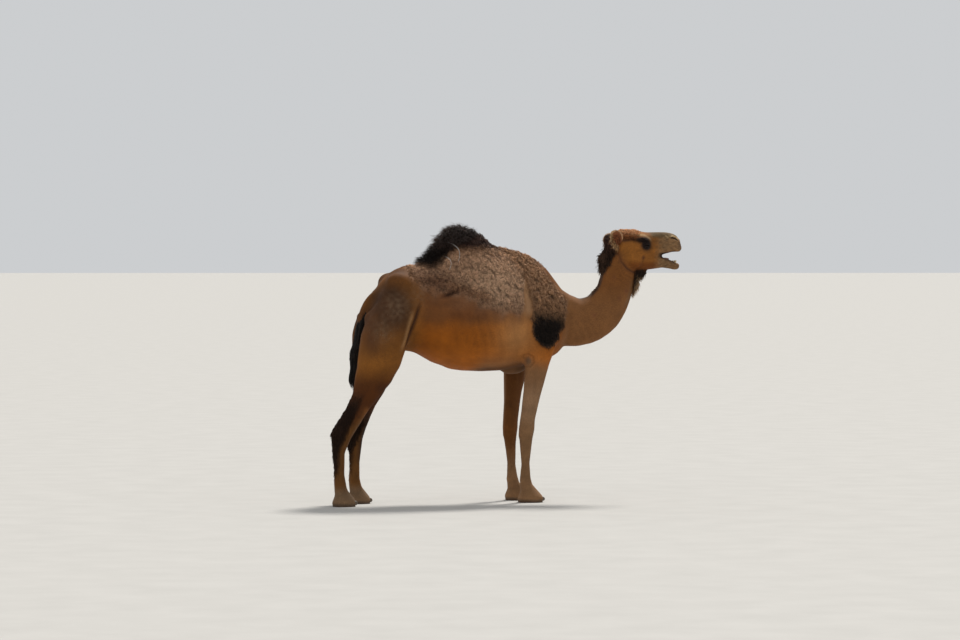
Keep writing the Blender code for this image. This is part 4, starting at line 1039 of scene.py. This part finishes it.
def locks(name, rooted, look, seed):
    """Locks of one look over these roots; its parts are told where the looks are given."""
    place, outward = rooted["place"], rooted["outward"]
    count = len(place)
    draw = np.random.default_rng(seed)
    ahead = look.get("lie", lie_of_coat)(place, outward)
    aside = np.cross(outward, ahead)
    rise, shade, yaw = np.ones(count), np.ones(count), np.zeros(count)
    on = over = np.zeros(count)
    if "clump" in look:
        clump, on, over = clumps(place, ahead, aside, look["clump"], look["breadth"], seed)
        edge = np.clip(np.hypot(on, over), 0, 1.2)
        rise = 1 - look["dip"] * edge ** 2
        # Painted shade and light: a clump's locks are drawn lighter in its middle and darker where it
        # parts.
        shade = 1 + look["parting"] * (0.35 - edge ** 2)
        own = draw.normal(0, 1, (3, clump.max() + 1))
        yaw = own[0, clump] * look["clump_turn"]
        rise *= 1 + 0.16 * own[1, clump]
        shade *= 1 + 0.10 * own[2, clump]
    yaw = (yaw + draw.normal(0, look["wander"], count))[:, None]
    ahead, aside = ahead * np.cos(yaw) + aside * np.sin(yaw), aside * np.cos(yaw) - ahead * np.sin(yaw)
    length = look["length"](place) if callable(look["length"]) else look["length"]
    grown = np.clip(rooted["growth"], 0, 1)
    long = length * rise * draw.uniform(0.78, 1.22, count) * (0.35 + 0.65 * grown)
    wide = look["slender"] * length * draw.uniform(0.75, 1.25, count) * (0.5 + 0.5 * grown)
    start = radians(look["lift"]) * draw.uniform(0.75, 1.25, count)
    bend = radians(look["turn"]) * draw.uniform(0.8, 1.2, count)
    wind = look["curl"] * draw.uniform(0.4, 1.3, count) * draw.choice((-1, 1), count)
    rings = look["rings"]
    steps = np.arange(rings + 1) / rings
    angle = start[:, None] - bend[:, None] * steps
    out = (np.cos(angle) - np.cos(start)[:, None]) / bend[:, None]
    forward = (np.sin(start)[:, None] - np.sin(angle)) / bend[:, None] - 0.25 * on[:, None] * steps
    sideways = (1 - np.cos(wind[:, None] * steps * 2)) / 2 - 0.35 * over[:, None] * steps
    centres = (ahead[:, None] * (forward * long[:, None])[:, :, None] + outward[:, None] * (
        out * long[:, None] - SUNK)[:, :, None] + aside[:, None] * (sideways * long[:, None])[:, :, None])
    if "ringlet" in look:
        radius, turns = look["ringlet"]
        phase = draw.uniform(0, tau, (count, 1)) + tau * turns * steps * draw.choice((-1, 1), (count, 1))
        reach = radius * (0.5 + 0.5 * grown)[:, None] * np.minimum(1, 3 * steps)
        reach = reach * draw.uniform(0.7, 1.3, (count, 1))
        centres += aside[:, None] * (reach * np.cos(phase))[:, :, None]
        centres += outward[:, None] * (reach * (0.6 + 0.8 * np.sin(phase)))[:, :, None]
    centres += place[:, None]
    centres[:, :, 2] -= look["sag"] * long[:, None] * steps ** 2
    fullness = 0.80 + 0.45 * np.sin(np.pi * np.minimum(1, steps * 1.2))
    girths = (wide / 2)[:, None] * (fullness * (1 - steps ** 3))[:-1]
    # Painted shade and light along each lock, from its root through its middle to its tip.
    along_lock = np.interp(steps, (0, 0.5, 1), look["shades"])
    base = rooted["colour"].copy()
    if "speckles" in look:
        base[draw.random(count) < look["speckles"](place)] = SPECKLE
    tone = shade * draw.uniform(1 - look["tones"], 1 + look["tones"], count)
    colours = base[:, None] * (along_lock * tone[:, None])[:, :, None]
    tip = look.get("tip")
    if tip:
        share = np.clip((steps - 0.45) / 0.55, 0, 1)[None, :] * tip_share(place, look)[:, None]
        colours += (np.array(tip) * tone[:, None, None] - colours) * share[:, :, None]
    colours *= np.minimum(1, BRIGHTEST / np.maximum(colours.max(axis=2, keepdims=True), 1e-4))
    return hair_mesh(name, centres, girths, aside, np.maximum(colours, 0.002), rooted["on_unwrap"],
                     look.get("flat", 1.0))


def tip_share(place, look):
    """How far the tips take the look's own colour, which may hold for a part of the place only."""
    return look["tip_where"](place) if "tip_where" in look else np.ones(len(place))


def on_side(growth, low_x, high_x, side):
    """A share of one kind of coat, between two cross sections and on one side of the animal."""
    return growth * (points[:, 0] >= low_x) * (points[:, 0] < high_x) * (points[:, 1] * side >= 0)


hair_finish, inputs = finish("hair_locks", 0.70, specular=0.20)
along_lock = Signal.add("Mapping", {}, {0: Signal.add("UVMap", {"uv_map": "strands"}), 3: (5.0, 1.6, 1.0)})
strand = Signal.add("TexNoise", {"noise_dimensions": "2D"},
                    {"Vector": along_lock, "Scale": 2.0, "Detail": 2.0})
coat_colour = Signal.add("VertexColor", {"layer_name": "coat"})
feed(inputs["Base Color"], shaded(coat_colour, between(strand, 0.66, 1.30)))
feed(inputs["Normal"], Signal.add("Bump", {}, {"Strength": 0.60, "Distance": 0.0012, "Height": strand}))

# A look: length, and width as a share of it; how steeply a lock leaves the skin and how far it then turns
# over, in degrees; how it winds aside, sags and strays; its rings and the spread of its tones; its painted
# shade and light at root, middle and tip; the radius and turns of its ringlet; and the size of its clumps,
# their breadth over the lie, how far they dip and are painted darker, as shade, where they part, and how
# they stray as a whole.
WOOL = dict(length=0.033, slender=0.145, lift=34, turn=28, curl=0.3, sag=0.05, wander=0.45, rings=6,
            tones=0.22, shades=(0.58, 1.12, 1.20), ringlet=(0.0048, 1.15),
            clump=0.030, breadth=1.6, dip=0.45, parting=0.85, clump_turn=0.32)
SIDES = ((-1, "right"), (1, "left"))
wool_growth = wool(points)
for side, name in SIDES:
    for number, (low_x, high_x) in enumerate(((-0.90, -0.40), (-0.40, -0.05), (-0.05, 0.60))):
        locks(f"wool_{name}_{number + 1}", roots(on_side(wool_growth, low_x, high_x, side), 0.0088,
                                              11 + number), WOOL, 21 + number)

# ---------------------------------------------------------------- dark hair
# Long, loose, nearly black hair stands on the crest of the hump with greyish tips, curls at the foot of the
# shoulders, and grows on the nape, under the jaw and down the backs of the thighs and hocks.
# Partly painted light: the crest's greyish tips stand for the hair's own grey and for light shining through
# its fuzz.
CREST = dict(length=0.068, slender=0.046, lift=80, turn=60, curl=0.5, sag=0.06, wander=0.45, rings=5,
             tones=0.35, shades=(0.5, 1.0, 1.4),
             clump=0.020, breadth=1.0, dip=0.20, parting=0.3, clump_turn=0.30,
             tip=(0.120, 0.112, 0.104), tip_where=lambda p: 0.85 * ramp(p[:, 2], 1.78, 1.90))
SHOULDER = dict(length=0.044, slender=0.11, lift=45, turn=60, curl=0.5, sag=0.20, wander=0.50, rings=7,
                tones=0.35, shades=(0.5, 1.5, 1.5), ringlet=(0.0055, 1.4),
                clump=0.032, breadth=1.0, dip=0.40, parting=0.6, clump_turn=0.45)
NAPE = dict(length=0.050, slender=0.078, lift=50, turn=80, curl=0.6, sag=0.15, wander=0.45, rings=5,
            tones=0.35, shades=(0.6, 1.2, 1.8),
            clump=0.020, breadth=1.0, dip=0.30, parting=0.5, clump_turn=0.45)
# Painted rim light: the pale tips along the front of the beard's lower part, where light from behind shines
# through.
BEARD = dict(length=0.050, slender=0.060, lift=45, turn=30, curl=0.4, sag=0.35, wander=0.30, rings=5,
             tones=0.35, shades=(0.6, 1.0, 1.2),
             clump=0.016, breadth=1.0, dip=0.25, parting=0.3, clump_turn=0.25,
             tip=(0.620, 0.390, 0.200), tip_where=lambda p: ramp(p[:, 2], 1.640, 1.615) * ramp(
                 p[:, 0] - 0.25 * (p[:, 2] - 1.5), 0.955, 0.978))
HOCK = dict(length=0.036, slender=0.10, lift=20, turn=14, curl=0.25, sag=0.10, wander=0.22, rings=4,
            tones=0.30, shades=(0.7, 1.0, 1.3))
for side, name in SIDES:
    crest_growth = on_side(crest_of_hump(points), -1, 1, side)
    locks(f"crest_{name}", roots(crest_growth, 0.0062, 31), CREST, 41)
    curl_growth = on_side(black_patch(points), -1, 1, side)
    locks(f"shoulder_curls_{name}", roots(curl_growth, 0.0100, 51), SHOULDER, 61)
locks("nape_hair", roots(nape_hair(points), 0.0062, 71), NAPE, 72)
locks("beard", roots(beard_hair(points), 0.0048, 73), BEARD, 74)
locks("hock_hair", roots(hock_hair(points), 0.0085, 75), HOCK, 76)

# Two stray white hairs hang from the crest on the right side.
for number, (x, z, reach) in enumerate(((-0.468, 1.852, 0.150), (-0.520, 1.760, 0.110))):
    steps = np.linspace(0, 1, 11)
    ahead = x + 0.34 * reach * np.sin(2.4 * steps)
    height = z - reach * steps * (0.35 + 0.65 * steps)
    under = [np.argmin((points[:, 0] - a) ** 2 + (points[:, 2] - b) ** 2 + 9 * (points[:, 1] > 0))
             for a, b in zip(ahead[::5], height[::5])]
    flank = np.interp(steps, (0, 0.5, 1), points[under, 1])
    bow = np.stack([ahead, flank - 0.055 * np.sin(2.6 * steps), height], 1)
    hair_mesh(f"white_hair_{number + 1}", bow[None], np.full((1, 10), 0.0014), np.array([[1.0, 0, 0]]),
              np.tile((0.80, 0.78, 0.74), (1, 11, 1)), unwrap[triangle_loops[:1, 0]])


# ---------------------------------------------------------------- short coat
# Everywhere else the coat is short and lies flat, in small flat tufts, which are smallest on face and feet.
# A rusty, curly forelock sits between the ears, and long lashes of dark hair lie on the brow.
def short_coat(p):
    long_hairs = (wool, crest_of_hump, nape_hair, beard_hair, hock_hair, forelock)
    long_hair = np.maximum.reduce([grows(p) for grows in long_hairs])
    face = ramp(p[:, 0], 1.00, 1.12) * ramp(p[:, 2], 1.60, 1.66)
    around_eye = near(p, (1.050, 0.080, 1.823), (0.030, 0.05, 0.024))
    mouth = near(p, (1.25, 0.0, 1.762), (0.09, 0.034, 0.022))
    callus = near(p, (0.055, 0.000, 0.940), (0.090, 0.060, 0.040))
    soles = ramp(p[:, 2], 0.05, 0.02)
    bare = np.maximum.reduce([0.35 * face, 1.6 * around_eye, 2 * mouth, 1.4 * callus, soles])
    return np.clip(1 - long_hair * 0.92 - bare, 0, 1)


def short_length(p):
    small = np.maximum(ramp(p[:, 2], 0.60, 0.20), ramp(p[:, 0], 0.88, 1.05) * ramp(p[:, 2], 1.62, 1.66))
    return 0.017 - 0.011 * small


def brow(p):
    return np.clip(near(p, (1.026, 0.080, 1.868), (0.060, 0.040, 0.022)) * 1.5, 0, 1) * ramp(
        np.abs(p[:, 1]), 0.030, 0.045)


SHORT = dict(length=short_length, slender=0.14, lift=9, turn=6, curl=0.10, sag=0.02, wander=0.16, rings=1,
             tones=0.14, shades=(1.00, 1.10, 1.16), flat=0.40, speckles=speckled)
# Painted rim light: the forelock's top is drawn with pale tips, as light from behind catches it.
FORELOCK = dict(length=0.025, slender=0.115, lift=42, turn=60, curl=0.6, sag=0.05, wander=0.8, rings=6,
                tones=0.40, shades=(0.30, 1.1, 1.5), ringlet=(0.0038, 1.1),
                clump=0.018, breadth=1.2, dip=0.35, parting=0.6, clump_turn=0.8,
                tip=(0.80, 0.56, 0.36), tip_where=lambda p: ramp(p[:, 2], 1.905, 1.935))
BROW = dict(length=0.014, slender=0.075, lift=24, turn=26, curl=0.2, sag=0.10, wander=0.20, rings=3,
            tones=0.25, shades=(0.70, 0.95, 1.05))
FRINGE = dict(length=0.010, slender=0.07, lift=25, turn=20, curl=0.3, sag=0.05, wander=0.30, rings=3,
              tones=0.25, shades=(0.7, 1.0, 1.2))
locks("forelock", roots(forelock(points), 0.0046, 77), FORELOCK, 78)
locks("brow_hair", roots(brow(points), 0.0034, 79), BROW, 80)
for side, name in SIDES:
    rise, across, *_ = on_ear(points, side)
    index = np.arange(len(points))
    in_ear = (index >= ears_start) & (index < ears_end) & (points[:, 1] * side > 0)
    rim = np.maximum(ramp(np.abs(across), 0.70, 0.88), ramp(rise, 0.88, 0.98)) * ramp(rise, 0.22, 0.36)

    def away_from_middle(place, outward, side=side):
        rise, across, up, sideways, _ = on_ear(place, side)
        way = sideways * np.clip(across, -1, 1)[:, None] + up * (0.5 + ramp(rise, 0.75, 1.0))[:, None]
        return unit(way - outward * np.sum(way * outward, axis=1, keepdims=True))

    fringe = dict(FRINGE, lie=away_from_middle)
    # The fringe takes the rims' pale colour, painted rim light with it.
    locks(f"ear_fringe_{name}", roots(rim * in_ear, 0.0024, 83), fringe, 84)
short_growth = short_coat(points)
CUTS = (-1.5, -0.95, -0.62, -0.28, 0.10, 0.60, 1.5)
for side, name in SIDES:
    for number, (low_x, high_x) in enumerate(zip(CUTS, CUTS[1:])):
        locks(f"tufts_{name}_{number + 1}", roots(on_side(short_growth, low_x, high_x, side), 0.0112,
                                               81 + number), SHORT, 91 + number)


# ---------------------------------------------------------------- tail
# The lower half of the tail is one long switch of nearly black hair, which hangs from the dock and narrows
# to loose wisps at its end.
SWITCH = ((1.370, -1.064, 0.028), (1.290, -1.088, 0.041), (1.205, -1.100, 0.050), (1.120, -1.114, 0.056),
          (1.060, -1.124, 0.058), (0.990, -1.131, 0.055), (0.920, -1.139, 0.047), (0.850, -1.146, 0.034),
          (0.795, -1.150, 0.012))  # height, the middle's x, and half its width
SWITCH_RINGS = 11
SWITCH_GIRTH = 0.0025


def switch_value(z, column):
    heights = [row[0] for row in SWITCH][::-1]
    return np.interp(z, heights, [row[column] for row in SWITCH][::-1])


def switch_roots(p):
    off = np.hypot(p[:, 0] - switch_value(p[:, 2], 1), p[:, 1])
    return (off < 0.052) * ramp(p[:, 2], 1.380, 1.330) * ramp(p[:, 2], 1.08, 1.10)


rooted = roots(switch_roots(points), 0.0064, 101)
place, outward = rooted["place"], rooted["outward"]
draw = np.random.default_rng(102)
steps = np.linspace(0, 1, SWITCH_RINGS + 1)
end = np.minimum(place[:, 2] - 0.05, draw.uniform(0.80, 1.10, len(place)))
z = place[:, 2:3] + (end - place[:, 2])[:, None] * steps
share = np.sqrt(draw.random((len(place), 1)))
turn = np.arctan2(place[:, 1], (place[:, 0] - switch_value(place[:, 2], 1)))[:, None]
turn = turn + draw.normal(0, 0.35, (len(place), 1)) * steps
width = switch_value(z, 2) * (0.35 + 0.65 * share) * 1.02
goal = np.stack([switch_value(z, 1) + 0.72 * width * np.cos(turn), width * np.sin(turn), z], 2)
wave = np.sin(steps * 9 + draw.uniform(0, tau, (len(place), 1)))
goal[:, :, 1] += 0.005 * wave * steps
goal[:, :, 0] += (0.0075 * wave + 0.008 * np.sin(z * 34)) * steps
settle = ramp(steps, 0.0, 0.22)[None, :, None]
centres = (place - outward * SUNK)[:, None] * (1 - settle) + goal * settle
centres[:, :, 2] = z
girths = np.full((len(place), SWITCH_RINGS), SWITCH_GIRTH) * (1 - 0.75 * steps[:-1] ** 2)
girths = girths * draw.uniform(0.7, 1.3, (len(place), 1))
tone = draw.uniform(0.4, 1.5, (len(place), 1, 1)) * np.linspace(0.8, 1.2, SWITCH_RINGS + 1)[None, :, None]
aside = unit(np.cross(outward, (0.0, 0.0, 1.0)))
switch = hair_mesh("tail_switch", centres, girths, aside, np.array(HAIR_BLACK) * tone, rooted["on_unwrap"])
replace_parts(switch, "tail_brush")


# ---------------------------------------------------------------- eyes
# Large, dark, moist eyes under heavy lids. Each is a ball whose cornea bulges, with a brown iris that shows
# fine rays and a level oval pupil. Two rows of long lashes shade it.
CORNEA_REACH = 0.62  # angles from the gaze
IRIS_REACH = 0.52
PUPIL_BLACK = (0.002, 0.002, 0.003)
IRIS_BROWN = (0.018, 0.007, 0.003)
ROUND_IRIS = (0.004, 0.002, 0.002)
UNDER_LIDS = (0.016, 0.010, 0.007)


def eyeball(name, side):
    centre, gaze, level, upright = eye_axes(side)
    ball = bmesh.new()
    bmesh.ops.create_uvsphere(ball, u_segments=56, v_segments=40, radius=EYE_RADIUS)
    bmesh.ops.rotate(ball, verts=ball.verts, matrix=gaze.to_track_quat("Z", "Y").to_matrix())
    tints = []
    for vert in ball.verts:
        way = vert.co.normalized()
        off = way.angle(gaze)
        vert.co += way * 0.0022 * max(0, 1 - (off / CORNEA_REACH) ** 2)
        across, up = way.dot(level), way.dot(upright)
        rays = 0.85 + 0.30 * sin(24 * atan2(up, across)) * sin(7 * atan2(up, across) + 1)
        pupil = (across / 0.26) ** 2 + (up / 0.15) ** 2
        if pupil < 1:
            tints.append(PUPIL_BLACK)
        elif off < IRIS_REACH:
            tints.append(tuple(c * rays * min(1.0, 0.55 + 0.25 * pupil) for c in IRIS_BROWN))
        else:
            fade = min(1, (off - IRIS_REACH) / 0.25)
            tints.append(tuple(a + (b - a) * fade for a, b in zip(ROUND_IRIS, UNDER_LIDS)))
    bmesh.ops.translate(ball, verts=ball.verts, vec=centre)
    mesh = bpy.data.meshes.new(name)
    ball.to_mesh(mesh)
    ball.free()
    mesh.shade_smooth()
    paint(mesh, np.array(tints))
    mesh.materials.append(eye_finish)
    obj = placed(name, mesh)
    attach(obj, "root")
    return obj


def on_unwrap_near(places):
    """Where these places fall on the skin's unwrap: at the nearest corner of the skin."""
    corner_places = points[triangle_points[:, 0]]
    found = [int(np.argmin(((corner_places - place) ** 2).sum(1))) for place in places]
    return unwrap[triangle_loops[found, 0]]


eye_finish, inputs = finish("moist_eye", 0.07, specular=0.13)
fibres = between(noise(700, 2), 0.85, 1.15)
feed(inputs["Base Color"], shaded(Signal.add("VertexColor", {"layer_name": "coat"}), fibres))
for side, name in SIDES:
    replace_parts(eyeball(f"eyeball_{name}", side), f"eye_{name}")
    lashes, aims, longest = [], [], []
    draw = np.random.default_rng(111)
    centre, gaze, to_nose, upright = eye_axes(side)
    centre = centre - Vector((stance, 0, 0))
    for first, last, thick, full, lean in ((40, 172, 90, 0.024, -0.15), (200, 320, 24, 0.008, -0.55)):
        for k in range(thick):
            around = radians(first + (last - first) * (k + draw.random()) / thick)
            off = float(almond(around)) + 0.07
            rim = cos(off) * gaze + sin(off) * (cos(around) * to_nose + sin(around) * upright)
            lashes.append(centre + rim * (EYE_RADIUS + 0.0029))
            aims.append(gaze + to_nose * cos(around) * 0.25 + upright * lean)
            longest.append(full * (0.3 + 0.7 * abs(sin(around))))
    place = np.array(lashes)
    aim = unit(np.array(aims) + draw.normal(0, 0.12, (len(lashes), 3)))
    steps = np.linspace(0, 1, 6)
    long = np.array(longest)[:, None] * draw.uniform(0.75, 1.2, (len(lashes), 1))
    centres = place[:, None] + aim[:, None] * (long * steps)[:, :, None]
    centres[:, :, 2] += long * 0.25 * steps ** 2
    girths = np.full((len(lashes), 5), 0.00042) * (1 - 0.6 * steps[:-1])
    hair_mesh(f"lashes_{name}", centres, girths, unit(np.cross(aim, (0, 0, 1.0))),
              np.full((len(lashes), 6, 3), 0.012), on_unwrap_near(place))


# ---------------------------------------------------------------- mouth
# The lower jaw carries six worn, ivory-coloured front teeth, which lean forward. Behind them lies the
# tongue, broad, moist and pinkish, with a groove down its middle.
def shaped_piece(name, shape, material, replaced):
    """Ends a bmesh as a smooth piece that stands for its solid."""
    bmesh.ops.recalc_face_normals(shape, faces=shape.faces)
    mesh = bpy.data.meshes.new(name)
    shape.to_mesh(mesh)
    shape.free()
    mesh.shade_smooth()
    mesh.materials.append(material)
    obj = placed(name, mesh)
    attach(obj, "root")
    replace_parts(obj, replaced)
    return obj


tooth_finish, inputs = finish("worn_ivory", 0.35, specular=0.5, clear_coat=0.3)
stain = between(noise(260, 4, (1, 1, 0.4)), 0, 1)
feed(inputs["Base Color"], blended(stain, (0.62, 0.50, 0.28), (0.30, 0.20, 0.09)))
feed(inputs["Normal"], Signal.add("Bump", {}, {"Strength": 0.2, "Distance": 0.0006, "Height": stain}))
low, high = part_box("lower_teeth")
TEETH = 6
ARC_RADIUS = (high.y - low.y) / 2 - 0.004
tooth_height = high.z - low.z
teeth = bmesh.new()
for k in range(TEETH):
    around = radians(25 * (k - 2.5))
    crown = bmesh.ops.create_cube(teeth, size=1)["verts"]
    bmesh.ops.scale(teeth, verts=crown, vec=(0.0095, 0.0105 - 0.0008 * abs(k - 2.5), tooth_height))
    for vert in crown:
        if vert.co.z < 0:
            vert.co.x *= 0.75
            vert.co.y *= 0.62
        else:
            vert.co.x *= 0.55
    tilt = Matrix.Rotation(around, 3, "Z") @ Matrix.Rotation(radians(20), 3, "Y")
    bmesh.ops.rotate(teeth, verts=crown, matrix=tilt)
    middle = Vector(((low.x + high.x) / 2 - 0.012 + ARC_RADIUS * cos(around) * 0.75,
                     ARC_RADIUS * sin(around), (low.z + high.z) / 2))
    bmesh.ops.translate(teeth, verts=crown, vec=middle)
bmesh.ops.bevel(teeth, geom=list(teeth.edges), offset=0.0016, segments=3, profile=0.5, affect="EDGES",
                material=-1)
shaped_piece("front_teeth", teeth, tooth_finish, "lower_teeth")

tongue_finish, inputs = finish("moist_tongue", 0.35, specular=0.5, clear_coat=0.4)
papillae = noise(900, 2)
feed(inputs["Base Color"], blended(between(noise(60, 3), 0, 1), (0.20, 0.07, 0.05), (0.13, 0.05, 0.04)))
feed(inputs["Normal"], Signal.add("Bump", {}, {"Strength": 0.4, "Distance": 0.0008, "Height": papillae}))
low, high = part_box("tongue")
blade = bmesh.new()
bmesh.ops.create_uvsphere(blade, u_segments=32, v_segments=20, radius=0.5)
for vert in blade.verts:
    x, y, z = vert.co
    vert.co.z = z * (1.0 if z < 0 else 0.75) - 0.10 * max(0, 1 - (y / 0.16) ** 2) * (z > 0)
    vert.co.y = y * (1 - 0.25 * max(0, x))
bmesh.ops.scale(blade, verts=blade.verts, vec=(high - low) * Vector((1, 1, 0.8)))
bmesh.ops.translate(blade, verts=blade.verts, vec=(low + high) / 2 - Vector((0.004, 0, 0.006)))
shaped_piece("tongue_blade", blade, tongue_finish, "tongue")

# ---------------------------------------------------------------- nails
# Each foot ends in two broad toes, and each toe in a short worn nail. The nails are dark horn with pale,
# scuffed edges, and each grows out of its toe as one rounded piece.
nail_finish, inputs = finish("worn_horn", 0.50, specular=0.4)
growth = noise(240, 3, (1, 1, 2.2))
scuffs = between(noise(700, 4), 0, 1)
worn = scuffs * between(growth, 0.2, 1.0)
feed(inputs["Base Color"], blended(worn, (0.055, 0.038, 0.026), (0.20, 0.15, 0.10)))
feed(inputs["Roughness"], between(growth, 0.40, 0.70))
feed(inputs["Normal"], Signal.add("Bump", {}, {"Strength": 0.35, "Distance": 0.0008, "Height": growth}))
for solid in [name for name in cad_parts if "nail" in name]:
    horn = bmesh.new()
    horn.from_mesh(bpy.data.objects[solid].data)
    bmesh.ops.remove_doubles(horn, verts=horn.verts, dist=SAME_PLACE)
    nail = shaped_piece(solid.replace("nail", "horn"), horn, nail_finish, solid)
    rounded = nail.modifiers.new("rounded", "SUBSURF")
    rounded.levels = rounded.render_levels = 2

# ---------------------------------------------------------------- floor, light and camera
# A plain pale floor under soft studio light: a wide light above and behind, which rims the back and the
# head, a broad one from the front, and a pale surround.
floor_finish, inputs = finish("pale_floor", 0.85, specular=0.2)
uneven = between(noise(3, 3), 0, 1)
feed(inputs["Base Color"], blended(uneven, (0.450, 0.438, 0.415), (0.480, 0.467, 0.443)))
FLOOR_REACH = 6000  # far enough for a level horizon
ground = bmesh.new()
bmesh.ops.create_grid(ground, x_segments=4, y_segments=4, size=FLOOR_REACH)
mesh = bpy.data.meshes.new("floor")
ground.to_mesh(mesh)
ground.free()
mesh.materials.append(floor_finish)
floor = placed("floor", mesh)

VIEW_TURN = radians(20)
ahead_of_camera = Vector((sin(VIEW_TURN), cos(VIEW_TURN), 0))
right_of_camera = Vector((cos(VIEW_TURN), -sin(VIEW_TURN), 0))


def soft_light(name, across, near_by, height, softness, power, colour):
    """A broad light, as wide as this angle. Its place is given to the camera's right, towards it and up."""
    light = bpy.data.lights.new(name, "SUN")
    light.angle = radians(softness)
    light.energy = power
    light.color = colour
    lamp = placed(name, light)
    lamp.location = right_of_camera * across - ahead_of_camera * near_by + Vector((0, 0, height))
    lamp.rotation_euler = lamp.location.to_track_quat("Z", "Y").to_euler()


soft_light("high_back_light", 4.0, -7.0, 12.0, 12, 3.4, (1.0, 0.97, 0.92))
soft_light("front_light", -6.0, 9.0, 5.0, 50, 0.25, (1.0, 0.96, 0.90))
world = bpy.data.worlds.new("pale_surround")
world.use_nodes = True
world.node_tree.nodes["Background"].inputs["Color"].default_value = (0.86, 0.88, 0.90, 1)
world.node_tree.nodes["Background"].inputs["Strength"].default_value = 0.70
bpy.context.scene.world = world
bpy.context.scene.view_settings.view_transform = "Standard"

LENS, FILM = 135, 36
VIEW_WIDTH = 6.857  # metres of the animal's middle plane from one side of the view to the other
distance = VIEW_WIDTH * LENS / FILM
MIDDLE_ACROSS = -0.1893  # the middle of the view, to the right of the animal's origin
EYE_LEVEL = 1.64
LOOKS_DOWN = radians(0.764)
camera = placed("camera", bpy.data.cameras.new("camera"))
camera.data.lens = LENS
camera.data.sensor_width = FILM
camera.data.clip_end = 20000
camera.location = (right_of_camera * (MIDDLE_ACROSS + right_of_camera.x * stance)
                   - ahead_of_camera * distance + Vector((0, 0, EYE_LEVEL)))
camera.rotation_euler = (radians(90) - LOOKS_DOWN, 0, -VIEW_TURN)
bpy.context.scene.camera = camera
